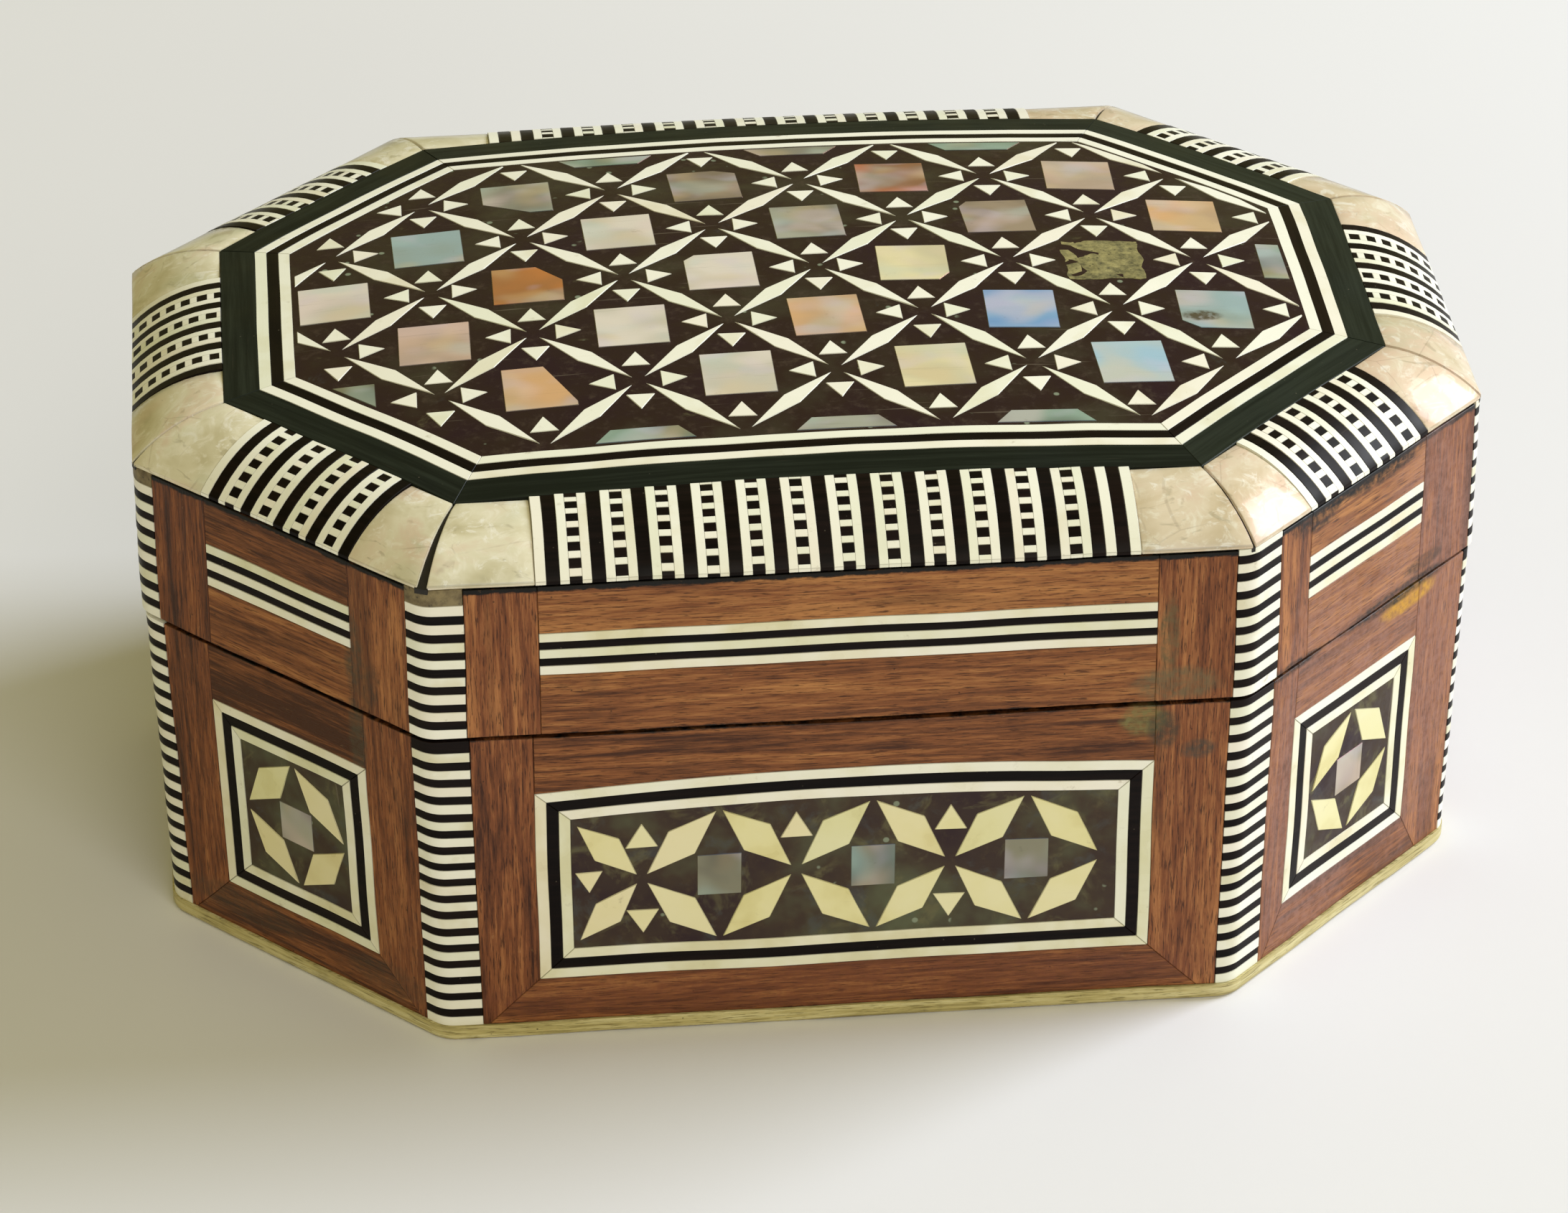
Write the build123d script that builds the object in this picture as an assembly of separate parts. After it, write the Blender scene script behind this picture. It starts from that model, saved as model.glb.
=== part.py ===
"""Inlaid wooden box: an eight-sided hinged box veneered in wood, bone, ebony and mother-of-pearl.

Millimetres, +Z up, +X along the long side, front face towards -Y.
The origin is the centre of the face that the box rests on.
"""
from build123d import *
import math
import os
import random

# ---- outer size ----
LENGTH = 139.6            # lid, along X
DEPTH = 98.4              # lid, along Y
CORNER_CUT = 28.3         # taken off each corner, along X and along Y
CUT_PER_OFFSET = 2 - math.sqrt(2)   # how fast the corner cut shrinks as the outline moves in
BASE_SET_BACK = 0.3       # the base stands this far inside the lid at the split
BASE_LEAN = 1.1           # and its walls lean in this much more at the bottom

# ---- heights ----
BOARD_THICK = 1.8         # bottom board
BASE_TOP = 36.9           # rim of the base
LID_BOTTOM = 37.5         # rim of the lid; the hinges hold this gap open
LID_WALL_TOP = 50.4       # the lid's board lies on its walls here
BEVEL_FOOT = 54.8         # lower edge of the bevel round the lid
BEVEL_LIP = 0.4           # upright lip at the foot of the bevel
BEVEL_SHADOW = 0.2        # gap under the bevel, above the veneer
BEVEL_CORE = 58.0         # wood under the bevel reaches this height
CROWN_TOP = 62.8          # middle of the domed top
CROWN_RX = 615.0          # radius of the dome along X
CROWN_RY = 308.0          # radius of the dome along Y

# ---- wood and skin ----
SKIN = 1.0                # veneer and inlay thickness
GLUE = 0.02               # glue line left between neighbouring pieces
WALL = 5.0                # wall boards
MITRE_GAP = 0.15          # half the gap between two mitred boards
LINING = 0.8              # velvet-covered card

# ---- corner posts: length on the side before and on the side after each corner ----
POST_ROUND = 3.0
POST_LEGS = [(1.6, 4.8), (1.0, 4.6), (3.3, 3.3), (3.3, 3.3),
             (3.3, 3.3), (3.3, 3.3), (3.3, 2.6), (2.3, 4.1)]

# ---- bevel ----
BEVEL_WIDE = 9.6          # measured level, from the border to the outer face
BEVEL_BULGE = 1.0
LADDER_WIDE = 3.16        # one strip of bone with a column of ebony squares
LINE_WIDE = {"bone": 1.12, "ebony": 1.36}   # lines between and beside the ladders
LONG_LADDERS = 12
SHORT_LADDERS = 4

# ---- top of the lid ----
BORDER_WIDE = 3.7         # ebony border
LINE_RING = 1.25          # each of the three stringing lines
LATTICE_X = 20.35         # distance between crossings in one row
LATTICE_Y = 10.7          # distance between rows of crossings
LATTICE_SHIFT = (2.5, 0.6)
LATTICE_ROWS = 3          # rows each side of the middle one
SLIVER_WIDE = 2.2
SLIVER_GAP = 0.75         # from a crossing to the tip of a sliver
PEARL_X = 7.5
PEARL_Y = 7.9
TRIANGLE_WIDE = 3.1
TRIANGLE_TALL = 2.8
TRIANGLE_X = 6.5          # distance of the triangles from the middle of a pearl square
TRIANGLE_Y = 6.6
FIELD_MARGIN = 0.35       # pieces of the field stop this far from the stringing
EDGE_PEARL_WIDE = 10.4    # shell slips along the front and back of the field
EDGE_PEARL_TALL = 2.2

# ---- stringing on the lid's sides ----
LID_LINE_LOW = 44.4
LID_BONE_LINE = 1.05
LID_EBONY_LINE = 0.85
LID_LINE_SHIFT = 1.0      # the front lines sit this far towards +X

# ---- panels on the base ----
PANEL_LOW = 7.2
PANEL_HIGH = 30.2
PANEL_HALF = {"long": 31.5, "diagonal": 10.8, "short": 11.0}
LID_LINE_HALF = {"long": 31.0, "diagonal": 10.0, "short": 10.4}
PANEL_SHIFT = 0.6         # the front panel sits this far towards +X
PANEL_RING = 1.2          # width of each of the three lines of a panel's frame
RHOMBUS_WIDE = 3.9
RING_PITCH = 15.75        # from one ring of rhombi to the next in a long panel
RING_SHIFT = 2.9
RHOMBUS_GAP = 0.4
PANEL_PEARL = 4.6
PANEL_TRIANGLE_WIDE = 3.4
PANEL_TRIANGLE_TALL = 2.9
PANEL_TRIANGLE_AT = 5.1   # height of the triangles above the middle of a panel

# ---- hinges ----
HINGE_X = 26.0
HINGE_Y = 48.7
HINGE_Z = (BASE_TOP + LID_BOTTOM) / 2
LEAF_LONG = 14.0
LEAF_THICK = 0.8
LEAF_INNER_Y = 43.6
KNUCKLE_R = 1.3
KNUCKLE_GAP = 0.15
PIN_R = 0.6
PIN_CLEAR = 0.05
NAIL_R = 0.4
NAIL_HEAD_R = 0.85
NAIL_HEAD_TALL = 0.5
NAIL_LONG = 4.0
NAIL_X = 4.2
NAIL_Y = 45.3
STOP_SLOPE = 53.0         # slope of the bevelled rear rims that stop the open lid
JITTER = 0.1              # how far hand-laid pieces stray from the pattern
TURN = 2.5                # and by how many degrees small pieces are turned
SLIVER_TURN = 0.6         # long slivers are laid straighter

HALF_X = LENGTH / 2
HALF_Y = DEPTH / 2
SIDES = ["front", "front_right", "right", "back_right", "back", "back_left", "left", "front_left"]
KIND = ["long", "diagonal", "short", "diagonal"] * 2
hand = random.Random(1)


# ---------- plan geometry ----------
def octagon(inset):
    """Corners of the outline moved in by inset; corner k lies between side k and side k + 1."""
    a = HALF_X - inset
    b = HALF_Y - inset
    c = CORNER_CUT - CUT_PER_OFFSET * inset
    return [(a - c, -b), (a, c - b), (a, b - c), (a - c, b),
            (c - a, b), (-a, b - c), (-a, c - b), (c - a, -b)]


def base_inset(z):
    """How far the base's outer face stands inside the lid's outline at height z."""
    return BASE_SET_BACK + BASE_LEAN * (BASE_TOP - z) / BASE_TOP


def normal(k):
    angle = math.radians(-90 + 45 * k)
    return Vector(math.cos(angle), math.sin(angle), 0)


def along(k):
    angle = math.radians(45 * k)
    return Vector(math.cos(angle), math.sin(angle), 0)


def half_side(k, inset):
    corners = octagon(inset)
    start = Vector(*corners[k - 1])
    end = Vector(*corners[k])
    return (end - start).length / 2


def side_middle(k, inset, z=0.0):
    corners = octagon(inset)
    start = Vector(*corners[k - 1], z)
    end = Vector(*corners[k], z)
    return (start + end) * 0.5


def lid_plane(k):
    """Upright outer face of the lid; u runs along the side and v is the height."""
    return Plane(origin=side_middle(k, 0), x_dir=along(k), z_dir=normal(k))


def base_plane(k):
    """Leaning outer face of the base; u runs along the side and v is the height."""
    foot = side_middle(k, base_inset(0))
    up = side_middle(k, base_inset(BASE_TOP), BASE_TOP) - foot
    return Plane(origin=foot, x_dir=along(k), z_dir=along(k).cross(up).normalized())


# ---------- small builders ----------
def prism(points, low, high):
    """A polygon in plan, carried from one height to another."""
    return extrude(Plane.XY.offset(low) * Polygon(*points, align=None), amount=high - low)


def plate(plane, points, thick=SKIN - GLUE):
    """A polygon on a side's outer face, carried inwards."""
    return extrude(plane * Polygon(*points, align=None), amount=thick, dir=-plane.z_dir)


def rectangle(u0, v0, u1, v1):
    return [(u0, v0), (u1, v0), (u1, v1), (u0, v1)]


def shrink(points, gap):
    """Move a rectangle-like outline's points towards its middle, to leave a glue line."""
    cx = sum(p[0] for p in points) / len(points)
    cy = sum(p[1] for p in points) / len(points)
    return [(x - math.copysign(gap, x - cx), y - math.copysign(gap, y - cy)) for x, y in points]


def rhombus(p, q, wide, gap):
    """A long diamond from p to q, stopping short of both by gap."""
    dx, dy = q[0] - p[0], q[1] - p[1]
    reach = math.hypot(dx, dy)
    dx, dy = dx / reach, dy / reach
    mx, my = (p[0] + q[0]) / 2, (p[1] + q[1]) / 2
    half = wide / 2
    return [(p[0] + dx * gap, p[1] + dy * gap), (mx + dy * half, my - dx * half),
            (q[0] - dx * gap, q[1] - dy * gap), (mx - dy * half, my + dx * half)]


def triangle(cx, cy, wide, tall, towards):
    """A triangle about (cx, cy) whose point faces the direction towards, in degrees."""
    shape = [(tall / 2, 0), (-tall / 2, wide / 2), (-tall / 2, -wide / 2)]
    return [moved(p, towards, cx, cy) for p in shape]


def moved(point, degrees, dx, dy):
    c, s = math.cos(math.radians(degrees)), math.sin(math.radians(degrees))
    return (point[0] * c - point[1] * s + dx, point[0] * s + point[1] * c + dy)


def by_hand(points, most=TURN):
    """Lay a piece slightly off its place, as a hand does."""
    cx = sum(p[0] for p in points) / len(points)
    cy = sum(p[1] for p in points) / len(points)
    turn = hand.uniform(-most, most)
    dx = hand.uniform(-JITTER, JITTER)
    dy = hand.uniform(-JITTER, JITTER)
    return [moved((x - cx, y - cy), turn, cx + dx, cy + dy) for x, y in points]


def clipped(points, outline):
    """Part of a convex polygon inside a convex outline whose corners run counter-clockwise."""
    for (ax, ay), (bx, by) in zip(outline, outline[1:] + outline[:1]):
        def side(p):
            return (bx - ax) * (p[1] - ay) - (by - ay) * (p[0] - ax)
        kept = []
        for p, q in zip(points, points[1:] + points[:1]):
            if side(p) >= 0:
                kept.append(p)
            if side(p) * side(q) < 0:
                t = side(p) / (side(p) - side(q))
                kept.append((p[0] + t * (q[0] - p[0]), p[1] + t * (q[1] - p[1])))
        points = kept
    return points


def area(points):
    pairs = zip(points, points[1:] + points[:1])
    return abs(sum(x0 * y1 - x1 * y0 for (x0, y0), (x1, y1) in pairs)) / 2


def ring_plates(outline_out, outline_in, gap):
    """Mitred strips between two outlines with the same number of corners."""
    strips = []
    count = len(outline_out)
    for i in range(count):
        j = (i + 1) % count
        a, b, c, d = outline_out[i], outline_out[j], outline_in[j], outline_in[i]
        length = math.dist(a, b)
        ux, uy = (b[0] - a[0]) / length * gap, (b[1] - a[1]) / length * gap
        strips.append([(a[0] + ux, a[1] + uy), (b[0] - ux, b[1] - uy),
                       (c[0] - ux, c[1] - uy), (d[0] + ux, d[1] + uy)])
    return strips


# ---------- walls ----------
def wall_plan(k, out, inner):
    """Plan of one mitred wall board between two insets."""
    outer = octagon(out)
    inside = octagon(inner)
    strip = ring_plates([outer[k - 1], outer[k]], [inside[k - 1], inside[k]], MITRE_GAP)[0]
    return strip


def base_wall(k):
    inner = BASE_SET_BACK + SKIN + WALL
    low = wall_plan(k, base_inset(BOARD_THICK) + SKIN, inner)
    high = wall_plan(k, base_inset(BASE_TOP) + SKIN, inner)
    foot = Plane.XY.offset(BOARD_THICK) * Polygon(*low, align=None)
    rim = Plane.XY.offset(BASE_TOP) * Polygon(*high, align=None)
    return loft([foot.face(), rim.face()], ruled=True)


def lid_wall(k):
    return prism(wall_plan(k, SKIN, SKIN + WALL), LID_BOTTOM, LID_WALL_TOP)


def base_board():
    board = prism(octagon(base_inset(0) - 0.3), 0, BOARD_THICK)
    board = fillet(board.edges().filter_by(Axis.Z), 4.0)
    return fillet(board.faces().sort_by(Axis.Z)[0].edges(), 0.7)


def lid_board(dome):
    """Top board of the lid: upright edge, sloping bevel and domed top."""
    edge = prism(octagon(SKIN), LID_WALL_TOP, BEVEL_FOOT)
    foot = Plane.XY.offset(BEVEL_FOOT) * Polygon(*octagon(SKIN), align=None)
    head = Plane.XY.offset(BEVEL_CORE) * Polygon(*octagon(BEVEL_WIDE), align=None)
    slope = loft([foot.face(), head.face()], ruled=True)
    top = prism(octagon(BEVEL_WIDE), BEVEL_FOOT, CROWN_TOP) & dome
    return edge + slope + top


def dome_solid(drop):
    """Everything below the domed top, lowered by drop."""
    reach = HALF_Y + 10
    fall = CROWN_RY - math.sqrt(CROWN_RY ** 2 - reach ** 2)
    top = CROWN_TOP - drop
    low = LID_BOTTOM
    arc = ThreePointArc((0, -reach, top - fall), (0, 0, top), (0, reach, top - fall))
    sides = Polyline((0, reach, top - fall), (0, reach, low), (0, -reach, low), (0, -reach, top - fall))
    axis = Axis((0, 0, top - CROWN_RX), (0, 1, 0))
    spread = 2 * math.degrees(math.asin((HALF_X + 10) / CROWN_RX))
    solid = revolve(make_face([arc, sides]), axis=axis, revolution_arc=spread)
    return solid.rotate(axis, -spread / 2)


def crown_height(x, y):
    """Height of the domed top above a point of the plan."""
    ring = CROWN_RX - CROWN_RY + math.sqrt(CROWN_RY ** 2 - y ** 2)
    return CROWN_TOP - CROWN_RX + math.sqrt(ring ** 2 - x ** 2)


# ---------- corner posts ----------
def post_face(k, inset, z):
    """Plan of the laminated strip that wraps corner k, with its outer edge rounded."""
    before, after = POST_LEGS[k]
    corner = Vector(*octagon(inset)[k], z)
    back, ahead = along(k) * -1, along((k + 1) % 8)
    n0, n1 = normal(k), normal((k + 1) % 8)
    half_turn = math.radians(22.5)
    start = corner + back * before
    end = corner + ahead * after
    radius = min(POST_ROUND, 0.9 * min(before, after) / math.tan(half_turn))
    cut = radius * math.tan(half_turn)
    outward = (n0 + n1).normalized()
    top = corner - outward * (radius / math.cos(half_turn) - radius)
    thick = SKIN - GLUE
    inner = corner - outward * (thick / math.cos(half_turn))
    arc_start, arc_end = corner + back * cut, corner + ahead * cut
    return make_face([
        Line(start, arc_start),
        ThreePointArc(arc_start, top, arc_end),
        Polyline(arc_end, end, end - n1 * thick, inner, start - n0 * thick, start),
    ])


def lid_post(k):
    return extrude(post_face(k, 0, LID_BOTTOM), amount=BEVEL_FOOT - GLUE - LID_BOTTOM, dir=(0, 0, 1))


def base_post(k):
    foot = post_face(k, base_inset(BOARD_THICK), BOARD_THICK)
    rim = post_face(k, base_inset(BASE_TOP), BASE_TOP)
    return loft([foot, rim], ruled=True)


def between_posts(k, inset):
    """Reach of the side's face between its two posts."""
    half = half_side(k, inset)
    return -half + POST_LEGS[k - 1][1] + 2 * GLUE, half - POST_LEGS[k][0] - 2 * GLUE


# ---------- side faces ----------
def lid_face(k):
    """Rails, stiles and stringing of one side of the lid, as (rails, stiles, bone, ebony)."""
    plane = lid_plane(k)
    left, right = between_posts(k, 0)
    shift = LID_LINE_SHIFT if k == 0 else 0.0
    half = LID_LINE_HALF[KIND[k]]
    u0, u1 = shift - half, shift + half
    top = BEVEL_FOOT - BEVEL_SHADOW
    bone, ebony = [], []
    v = LID_LINE_LOW
    for i in range(5):
        wide, group = (LID_BONE_LINE, bone) if i % 2 == 0 else (LID_EBONY_LINE, ebony)
        group.append(plate(plane, shrink(rectangle(u0, v, u1, v + wide), GLUE / 2)))
        v += wide
    stiles = [plate(plane, shrink(rectangle(left, LID_BOTTOM, u0, top), GLUE / 2)),
              plate(plane, shrink(rectangle(u1, LID_BOTTOM, right, top), GLUE / 2))]
    rails = [plate(plane, shrink(rectangle(u0, LID_BOTTOM, u1, LID_LINE_LOW), GLUE / 2)),
             plate(plane, shrink(rectangle(u0, v, u1, top), GLUE / 2))]
    return rails, stiles, bone, ebony


def base_face(k):
    """Rails, stiles and panel frame of one side of the base, as (rails, stiles, bone, ebony)."""
    plane = base_plane(k)
    shift = PANEL_SHIFT if k == 0 else 0.0
    half = PANEL_HALF[KIND[k]]
    u0, u1 = shift - half, shift + half
    low_left, low_right = between_posts(k, base_inset(BOARD_THICK))
    top_left, top_right = between_posts(k, base_inset(BASE_TOP))
    mitre = min(PANEL_LOW - BOARD_THICK, u0 - low_left - 0.6)
    foot, rim = BOARD_THICK, BASE_TOP - GLUE
    g = GLUE / 2
    left = [(low_left, foot), (u0 - mitre - g, foot), (u0 - g, PANEL_LOW), (u0 - g, rim), (top_left, rim)]
    right = [(u1 + mitre + g, foot), (low_right, foot), (top_right, rim), (u1 + g, rim), (u1 + g, PANEL_LOW)]
    bottom = [(u0 - mitre + g, foot), (u1 + mitre - g, foot), (u1 - g, PANEL_LOW - g), (u0 + g, PANEL_LOW - g)]
    upper = rectangle(u0 + g, PANEL_HIGH + g, u1 - g, rim)
    stiles = [plate(plane, left), plate(plane, right)]
    rails = [plate(plane, bottom), plate(plane, upper)]
    bone, ebony = [], []
    for i in range(3):
        outer = shrink(rectangle(u0, PANEL_LOW, u1, PANEL_HIGH), i * PANEL_RING)
        inner = shrink(rectangle(u0, PANEL_LOW, u1, PANEL_HIGH), (i + 1) * PANEL_RING - GLUE)
        group = ebony if i == 1 else bone
        group += [plate(plane, strip) for strip in ring_plates(outer, inner, GLUE)]
    return rails, stiles, bone, ebony


def panel_pattern(k):
    """Outlines of one base panel's field, rhombi, triangles and shell, in its own u and v."""
    shift = PANEL_SHIFT if k == 0 else 0.0
    half = PANEL_HALF[KIND[k]] - 3 * PANEL_RING
    middle = (PANEL_LOW + PANEL_HIGH) / 2
    tall = (PANEL_HIGH - PANEL_LOW) / 2 - 3 * PANEL_RING
    field = rectangle(shift - half, middle - tall, shift + half, middle + tall)
    if KIND[k] == "long":
        centres = [shift + RING_SHIFT + i * RING_PITCH for i in (-1, 0, 1)]
        reach = RING_PITCH / 2
    else:
        centres = [shift]
        reach = half
    tip = tall - 0.25
    rhombi, triangles, pearls = [], [], []
    for c in centres:
        for sx in (-1, 1):
            for sy in (-1, 1):
                ends = (c, middle + sy * tip), (c + sx * (reach - 0.2), middle + sy * 0.2)
                rhombi.append(rhombus(*ends, RHOMBUS_WIDE, RHOMBUS_GAP))
        size = PANEL_PEARL / 2
        pearls.append(rectangle(c - size, middle - size, c + size, middle + size))
    if KIND[k] == "long":
        left = centres[0] - reach
        for sy in (-1, 1):
            ends = (shift - half + 0.3, middle + sy * (tip - 0.3)), (left - 0.2, middle + sy * 0.2)
            rhombi.append(rhombus(*ends, RHOMBUS_WIDE - 0.4, RHOMBUS_GAP))
            for c in centres if sy > 0 else centres[::2]:
                triangles.append(triangle(c - reach, middle + sy * PANEL_TRIANGLE_AT,
                                          PANEL_TRIANGLE_WIDE, PANEL_TRIANGLE_TALL, 90 * sy))
        triangles.append(triangle(left - 5.4, middle, PANEL_TRIANGLE_WIDE - 0.5, PANEL_TRIANGLE_TALL - 0.3, -90))
    return field, rhombi, triangles, pearls


def base_panel(k):
    """Ground, rhombi, triangles and shell of one base panel."""
    plane = base_plane(k)
    field, rhombi, triangles, pearls = panel_pattern(k)
    ground = plane * Polygon(*shrink(field, GLUE), align=None)
    groups = []
    for outlines in (rhombi, triangles, pearls):
        groups.append([plate(plane, outline) for outline in outlines])
        for outline in outlines:
            ground -= plane * Polygon(*outline, align=None)
    ground = extrude(ground, amount=SKIN - GLUE, dir=-plane.z_dir)
    return [ground, *groups]


# ---------- bevel ----------
def bevel_piece(k, u0, u1, region=None):
    """A strip of the bevel on side k between two places along it."""
    middle = side_middle(k, BEVEL_WIDE)
    at = middle + along(k) * ((u0 + u1) / 2)
    high = crown_height(at.X, at.Y)
    foot = BEVEL_FOOT + BEVEL_LIP
    slope = math.atan2(high - foot, BEVEL_WIDE)
    bulge = (BEVEL_WIDE / 2 + BEVEL_BULGE * math.sin(slope),
             (high + foot) / 2 + BEVEL_BULGE * math.cos(slope))
    start = middle + along(k) * u0
    plane = Plane(origin=start, x_dir=normal(k), z_dir=along(k) * -1)
    skin = GLUE
    outline = make_face([
        ThreePointArc((skin, high), bulge, (BEVEL_WIDE, foot)),
        Polyline((BEVEL_WIDE, foot), (BEVEL_WIDE, BEVEL_FOOT), (BEVEL_WIDE - SKIN + skin, BEVEL_FOOT + skin),
                 (skin, BEVEL_CORE + skin), (skin, high)),
    ])
    piece = extrude(plane * outline, amount=u1 - u0, dir=along(k))
    return piece & region if region else piece


def side_region(k):
    """Upright wedge between the two mitres of side k."""
    strip = wall_plan(k, -0.5, BEVEL_WIDE + 0.5)
    return prism(strip, BEVEL_FOOT - 1, CROWN_TOP + 1)


def bevel_side(k):
    """One side of the bevel as (shell, ladders, bone lines, ebony lines)."""
    ladders = LONG_LADDERS if KIND[k] == "long" else SHORT_LADDERS
    closing = ["ebony", "bone", "ebony", "bone"] if KIND[k] == "long" else ["ebony"]
    run = ladders * (LADDER_WIDE + LINE_WIDE["ebony"]) + LINE_WIDE["bone"]
    run += sum(LINE_WIDE[kind] for kind in closing)
    u = -run / 2
    first = u
    parts = {"bone": [], "ebony": [], "ladder": []}

    def lay(kind, wide):
        nonlocal u
        parts[kind].append(bevel_piece(k, u + GLUE / 2, u + wide - GLUE / 2))
        u += wide

    lay("bone", LINE_WIDE["bone"])
    for _ in range(ladders):
        lay("ebony", LINE_WIDE["ebony"])
        lay("ladder", LADDER_WIDE)
    for kind in closing:
        lay(kind, LINE_WIDE[kind])
    region = side_region(k)
    far = half_side(k, 0) + 1
    shell = [bevel_piece(k, -far, first - GLUE, region), bevel_piece(k, u + GLUE, far, region)]
    return shell, parts["ladder"], parts["bone"], parts["ebony"]


# ---------- top of the lid ----------
def lattice_cells():
    """Middles of the lattice's cells as (x, y)."""
    cells = []
    for row in range(-LATTICE_ROWS, LATTICE_ROWS + 1):
        for step in range(-8, 9):
            if (row + step) % 2:
                x = LATTICE_SHIFT[0] + step * LATTICE_X / 2
                cells.append((x, LATTICE_SHIFT[1] + row * LATTICE_Y))
    return cells


def field_pattern():
    """Outlines of the field's slivers, triangles, shell squares and shell edge slips."""
    inset = BEVEL_WIDE + BORDER_WIDE + 3 * LINE_RING + FIELD_MARGIN
    outline = octagon(inset)
    reach_y = HALF_Y - inset
    slivers, triangles, squares, slips = [], [], [], []
    half_x, half_y = LATTICE_X / 2, LATTICE_Y
    for x, y in lattice_cells():
        for sx in (-1, 1):
            start = (x + sx * half_x, y)
            ends = start, (x, y + half_y)
            piece = clipped(by_hand(rhombus(*ends, SLIVER_WIDE, SLIVER_GAP), SLIVER_TURN), outline)
            if piece and area(piece) > 4:
                slivers.append(piece)
        if abs(y) > reach_y - 2:
            edge = math.copysign(reach_y, y)
            inner = edge - math.copysign(EDGE_PEARL_TALL, y)
            slip = [(x - EDGE_PEARL_WIDE / 2, edge), (x + EDGE_PEARL_WIDE / 2, edge),
                    (x + EDGE_PEARL_WIDE / 3, inner), (x - EDGE_PEARL_WIDE / 3, inner)]
            if y > 0:
                slip.reverse()
            slip = clipped(slip, outline)
            if slip and area(slip) > 0.9 * EDGE_PEARL_TALL * EDGE_PEARL_WIDE * 5 / 6:
                slips.append(slip)
        else:
            square = by_hand(rectangle(x - PEARL_X / 2, y - PEARL_Y / 2, x + PEARL_X / 2, y + PEARL_Y / 2))
            square = clipped(square, outline)
            if square and area(square) > 10:
                squares.append(square)
        for dx, dy, towards in ((0, 1, -90), (0, -1, 90), (1, 0, 180), (-1, 0, 0)):
            piece = by_hand(triangle(x + dx * TRIANGLE_X, y + dy * TRIANGLE_Y,
                                     TRIANGLE_WIDE, TRIANGLE_TALL, towards))
            kept = clipped(piece, outline)
            if kept and area(kept) > 0.97 * area(piece):
                triangles.append(piece)
    return slivers, triangles, squares, slips


def lid_field(dome, floor):
    """Ground and inlay of the lid's domed field."""
    inset = BEVEL_WIDE + BORDER_WIDE + 3 * LINE_RING + GLUE
    ground = Polygon(*octagon(inset), align=None)
    low = floor_level(inset)
    groups = []
    for outlines in field_pattern():
        pieces = []
        for outline in outlines:
            ground -= Polygon(*outline, align=None)
            pieces.append((prism(outline, low, CROWN_TOP + 1) & dome) - floor)
        groups.append(pieces)
    ground = extrude(Plane.XY.offset(low) * ground, amount=CROWN_TOP + 1 - low)
    return [(ground & dome) - floor, *groups]


def floor_level(inset):
    """Height safely below the glued face of a piece that reaches out to inset."""
    x, y = octagon(inset)[1]
    return crown_height(x, y) - 4 * SKIN


def lid_rings(dome, floor):
    """Ebony border and the three stringing rings round the field."""
    edges = [BEVEL_WIDE, BEVEL_WIDE + BORDER_WIDE]
    edges += [edges[-1] + LINE_RING * (i + 1) for i in range(3)]
    rings = []
    for out, inner in zip(edges, edges[1:]):
        strips = ring_plates(octagon(out + GLUE / 2), octagon(inner - GLUE / 2), GLUE)
        low = floor_level(out)
        rings.append([(prism(strip, low, CROWN_TOP + 1) & dome) - floor for strip in strips])
    return rings


# ---------- linings ----------
def lining_ring(low, high):
    inset = BASE_SET_BACK + SKIN + WALL + 0.1
    outer = Plane.XY.offset(low) * Polygon(*octagon(inset), align=None)
    inner = Plane.XY.offset(low) * Polygon(*octagon(inset + LINING), align=None)
    return extrude(outer - inner, amount=high - low)


def lining_floor(low, high):
    return prism(octagon(BASE_SET_BACK + SKIN + WALL + 0.1), low, high)


# ---------- hinges ----------
def bar_x(radius, x0, x1):
    """A round bar along X on the hinge line."""
    disc = Plane(origin=(x0, HINGE_Y, HINGE_Z), z_dir=(1, 0, 0)) * Circle(radius)
    return extrude(disc, amount=x1 - x0)


def box(x0, x1, y0, y1, z0, z1):
    return prism(rectangle(x0, y0, x1, y1), z0, z1)


def knuckle_spans(x):
    """Three knuckles: the outer two on the base and the middle one on the lid."""
    width = LEAF_LONG / 3
    left = x - LEAF_LONG / 2
    return [(left + i * width + KNUCKLE_GAP / 2, left + (i + 1) * width - KNUCKLE_GAP / 2)
            for i in range(3)]


def hinge_leaf(x, on_lid):
    """One leaf, let into the rim, with its knuckles and its nail holes."""
    if on_lid:
        low, high = LID_BOTTOM, LID_BOTTOM + LEAF_THICK
        spans, bore = knuckle_spans(x)[1:2], PIN_R + PIN_CLEAR
    else:
        low, high = BASE_TOP - LEAF_THICK, BASE_TOP
        spans, bore = knuckle_spans(x)[::2], PIN_R + 0.01
    leaf = box(x - LEAF_LONG / 2, x + LEAF_LONG / 2, LEAF_INNER_Y, HINGE_Y - KNUCKLE_R - 0.2, low, high)
    for x0, x1 in spans:
        leaf += box(x0, x1, HINGE_Y - KNUCKLE_R - 0.3, HINGE_Y, low, high)
        leaf += bar_x(KNUCKLE_R, x0, x1)
    leaf -= bar_x(bore, x - LEAF_LONG, x + LEAF_LONG)
    for nail in leaf_nails(x, on_lid):
        leaf -= nail
    return leaf


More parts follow.
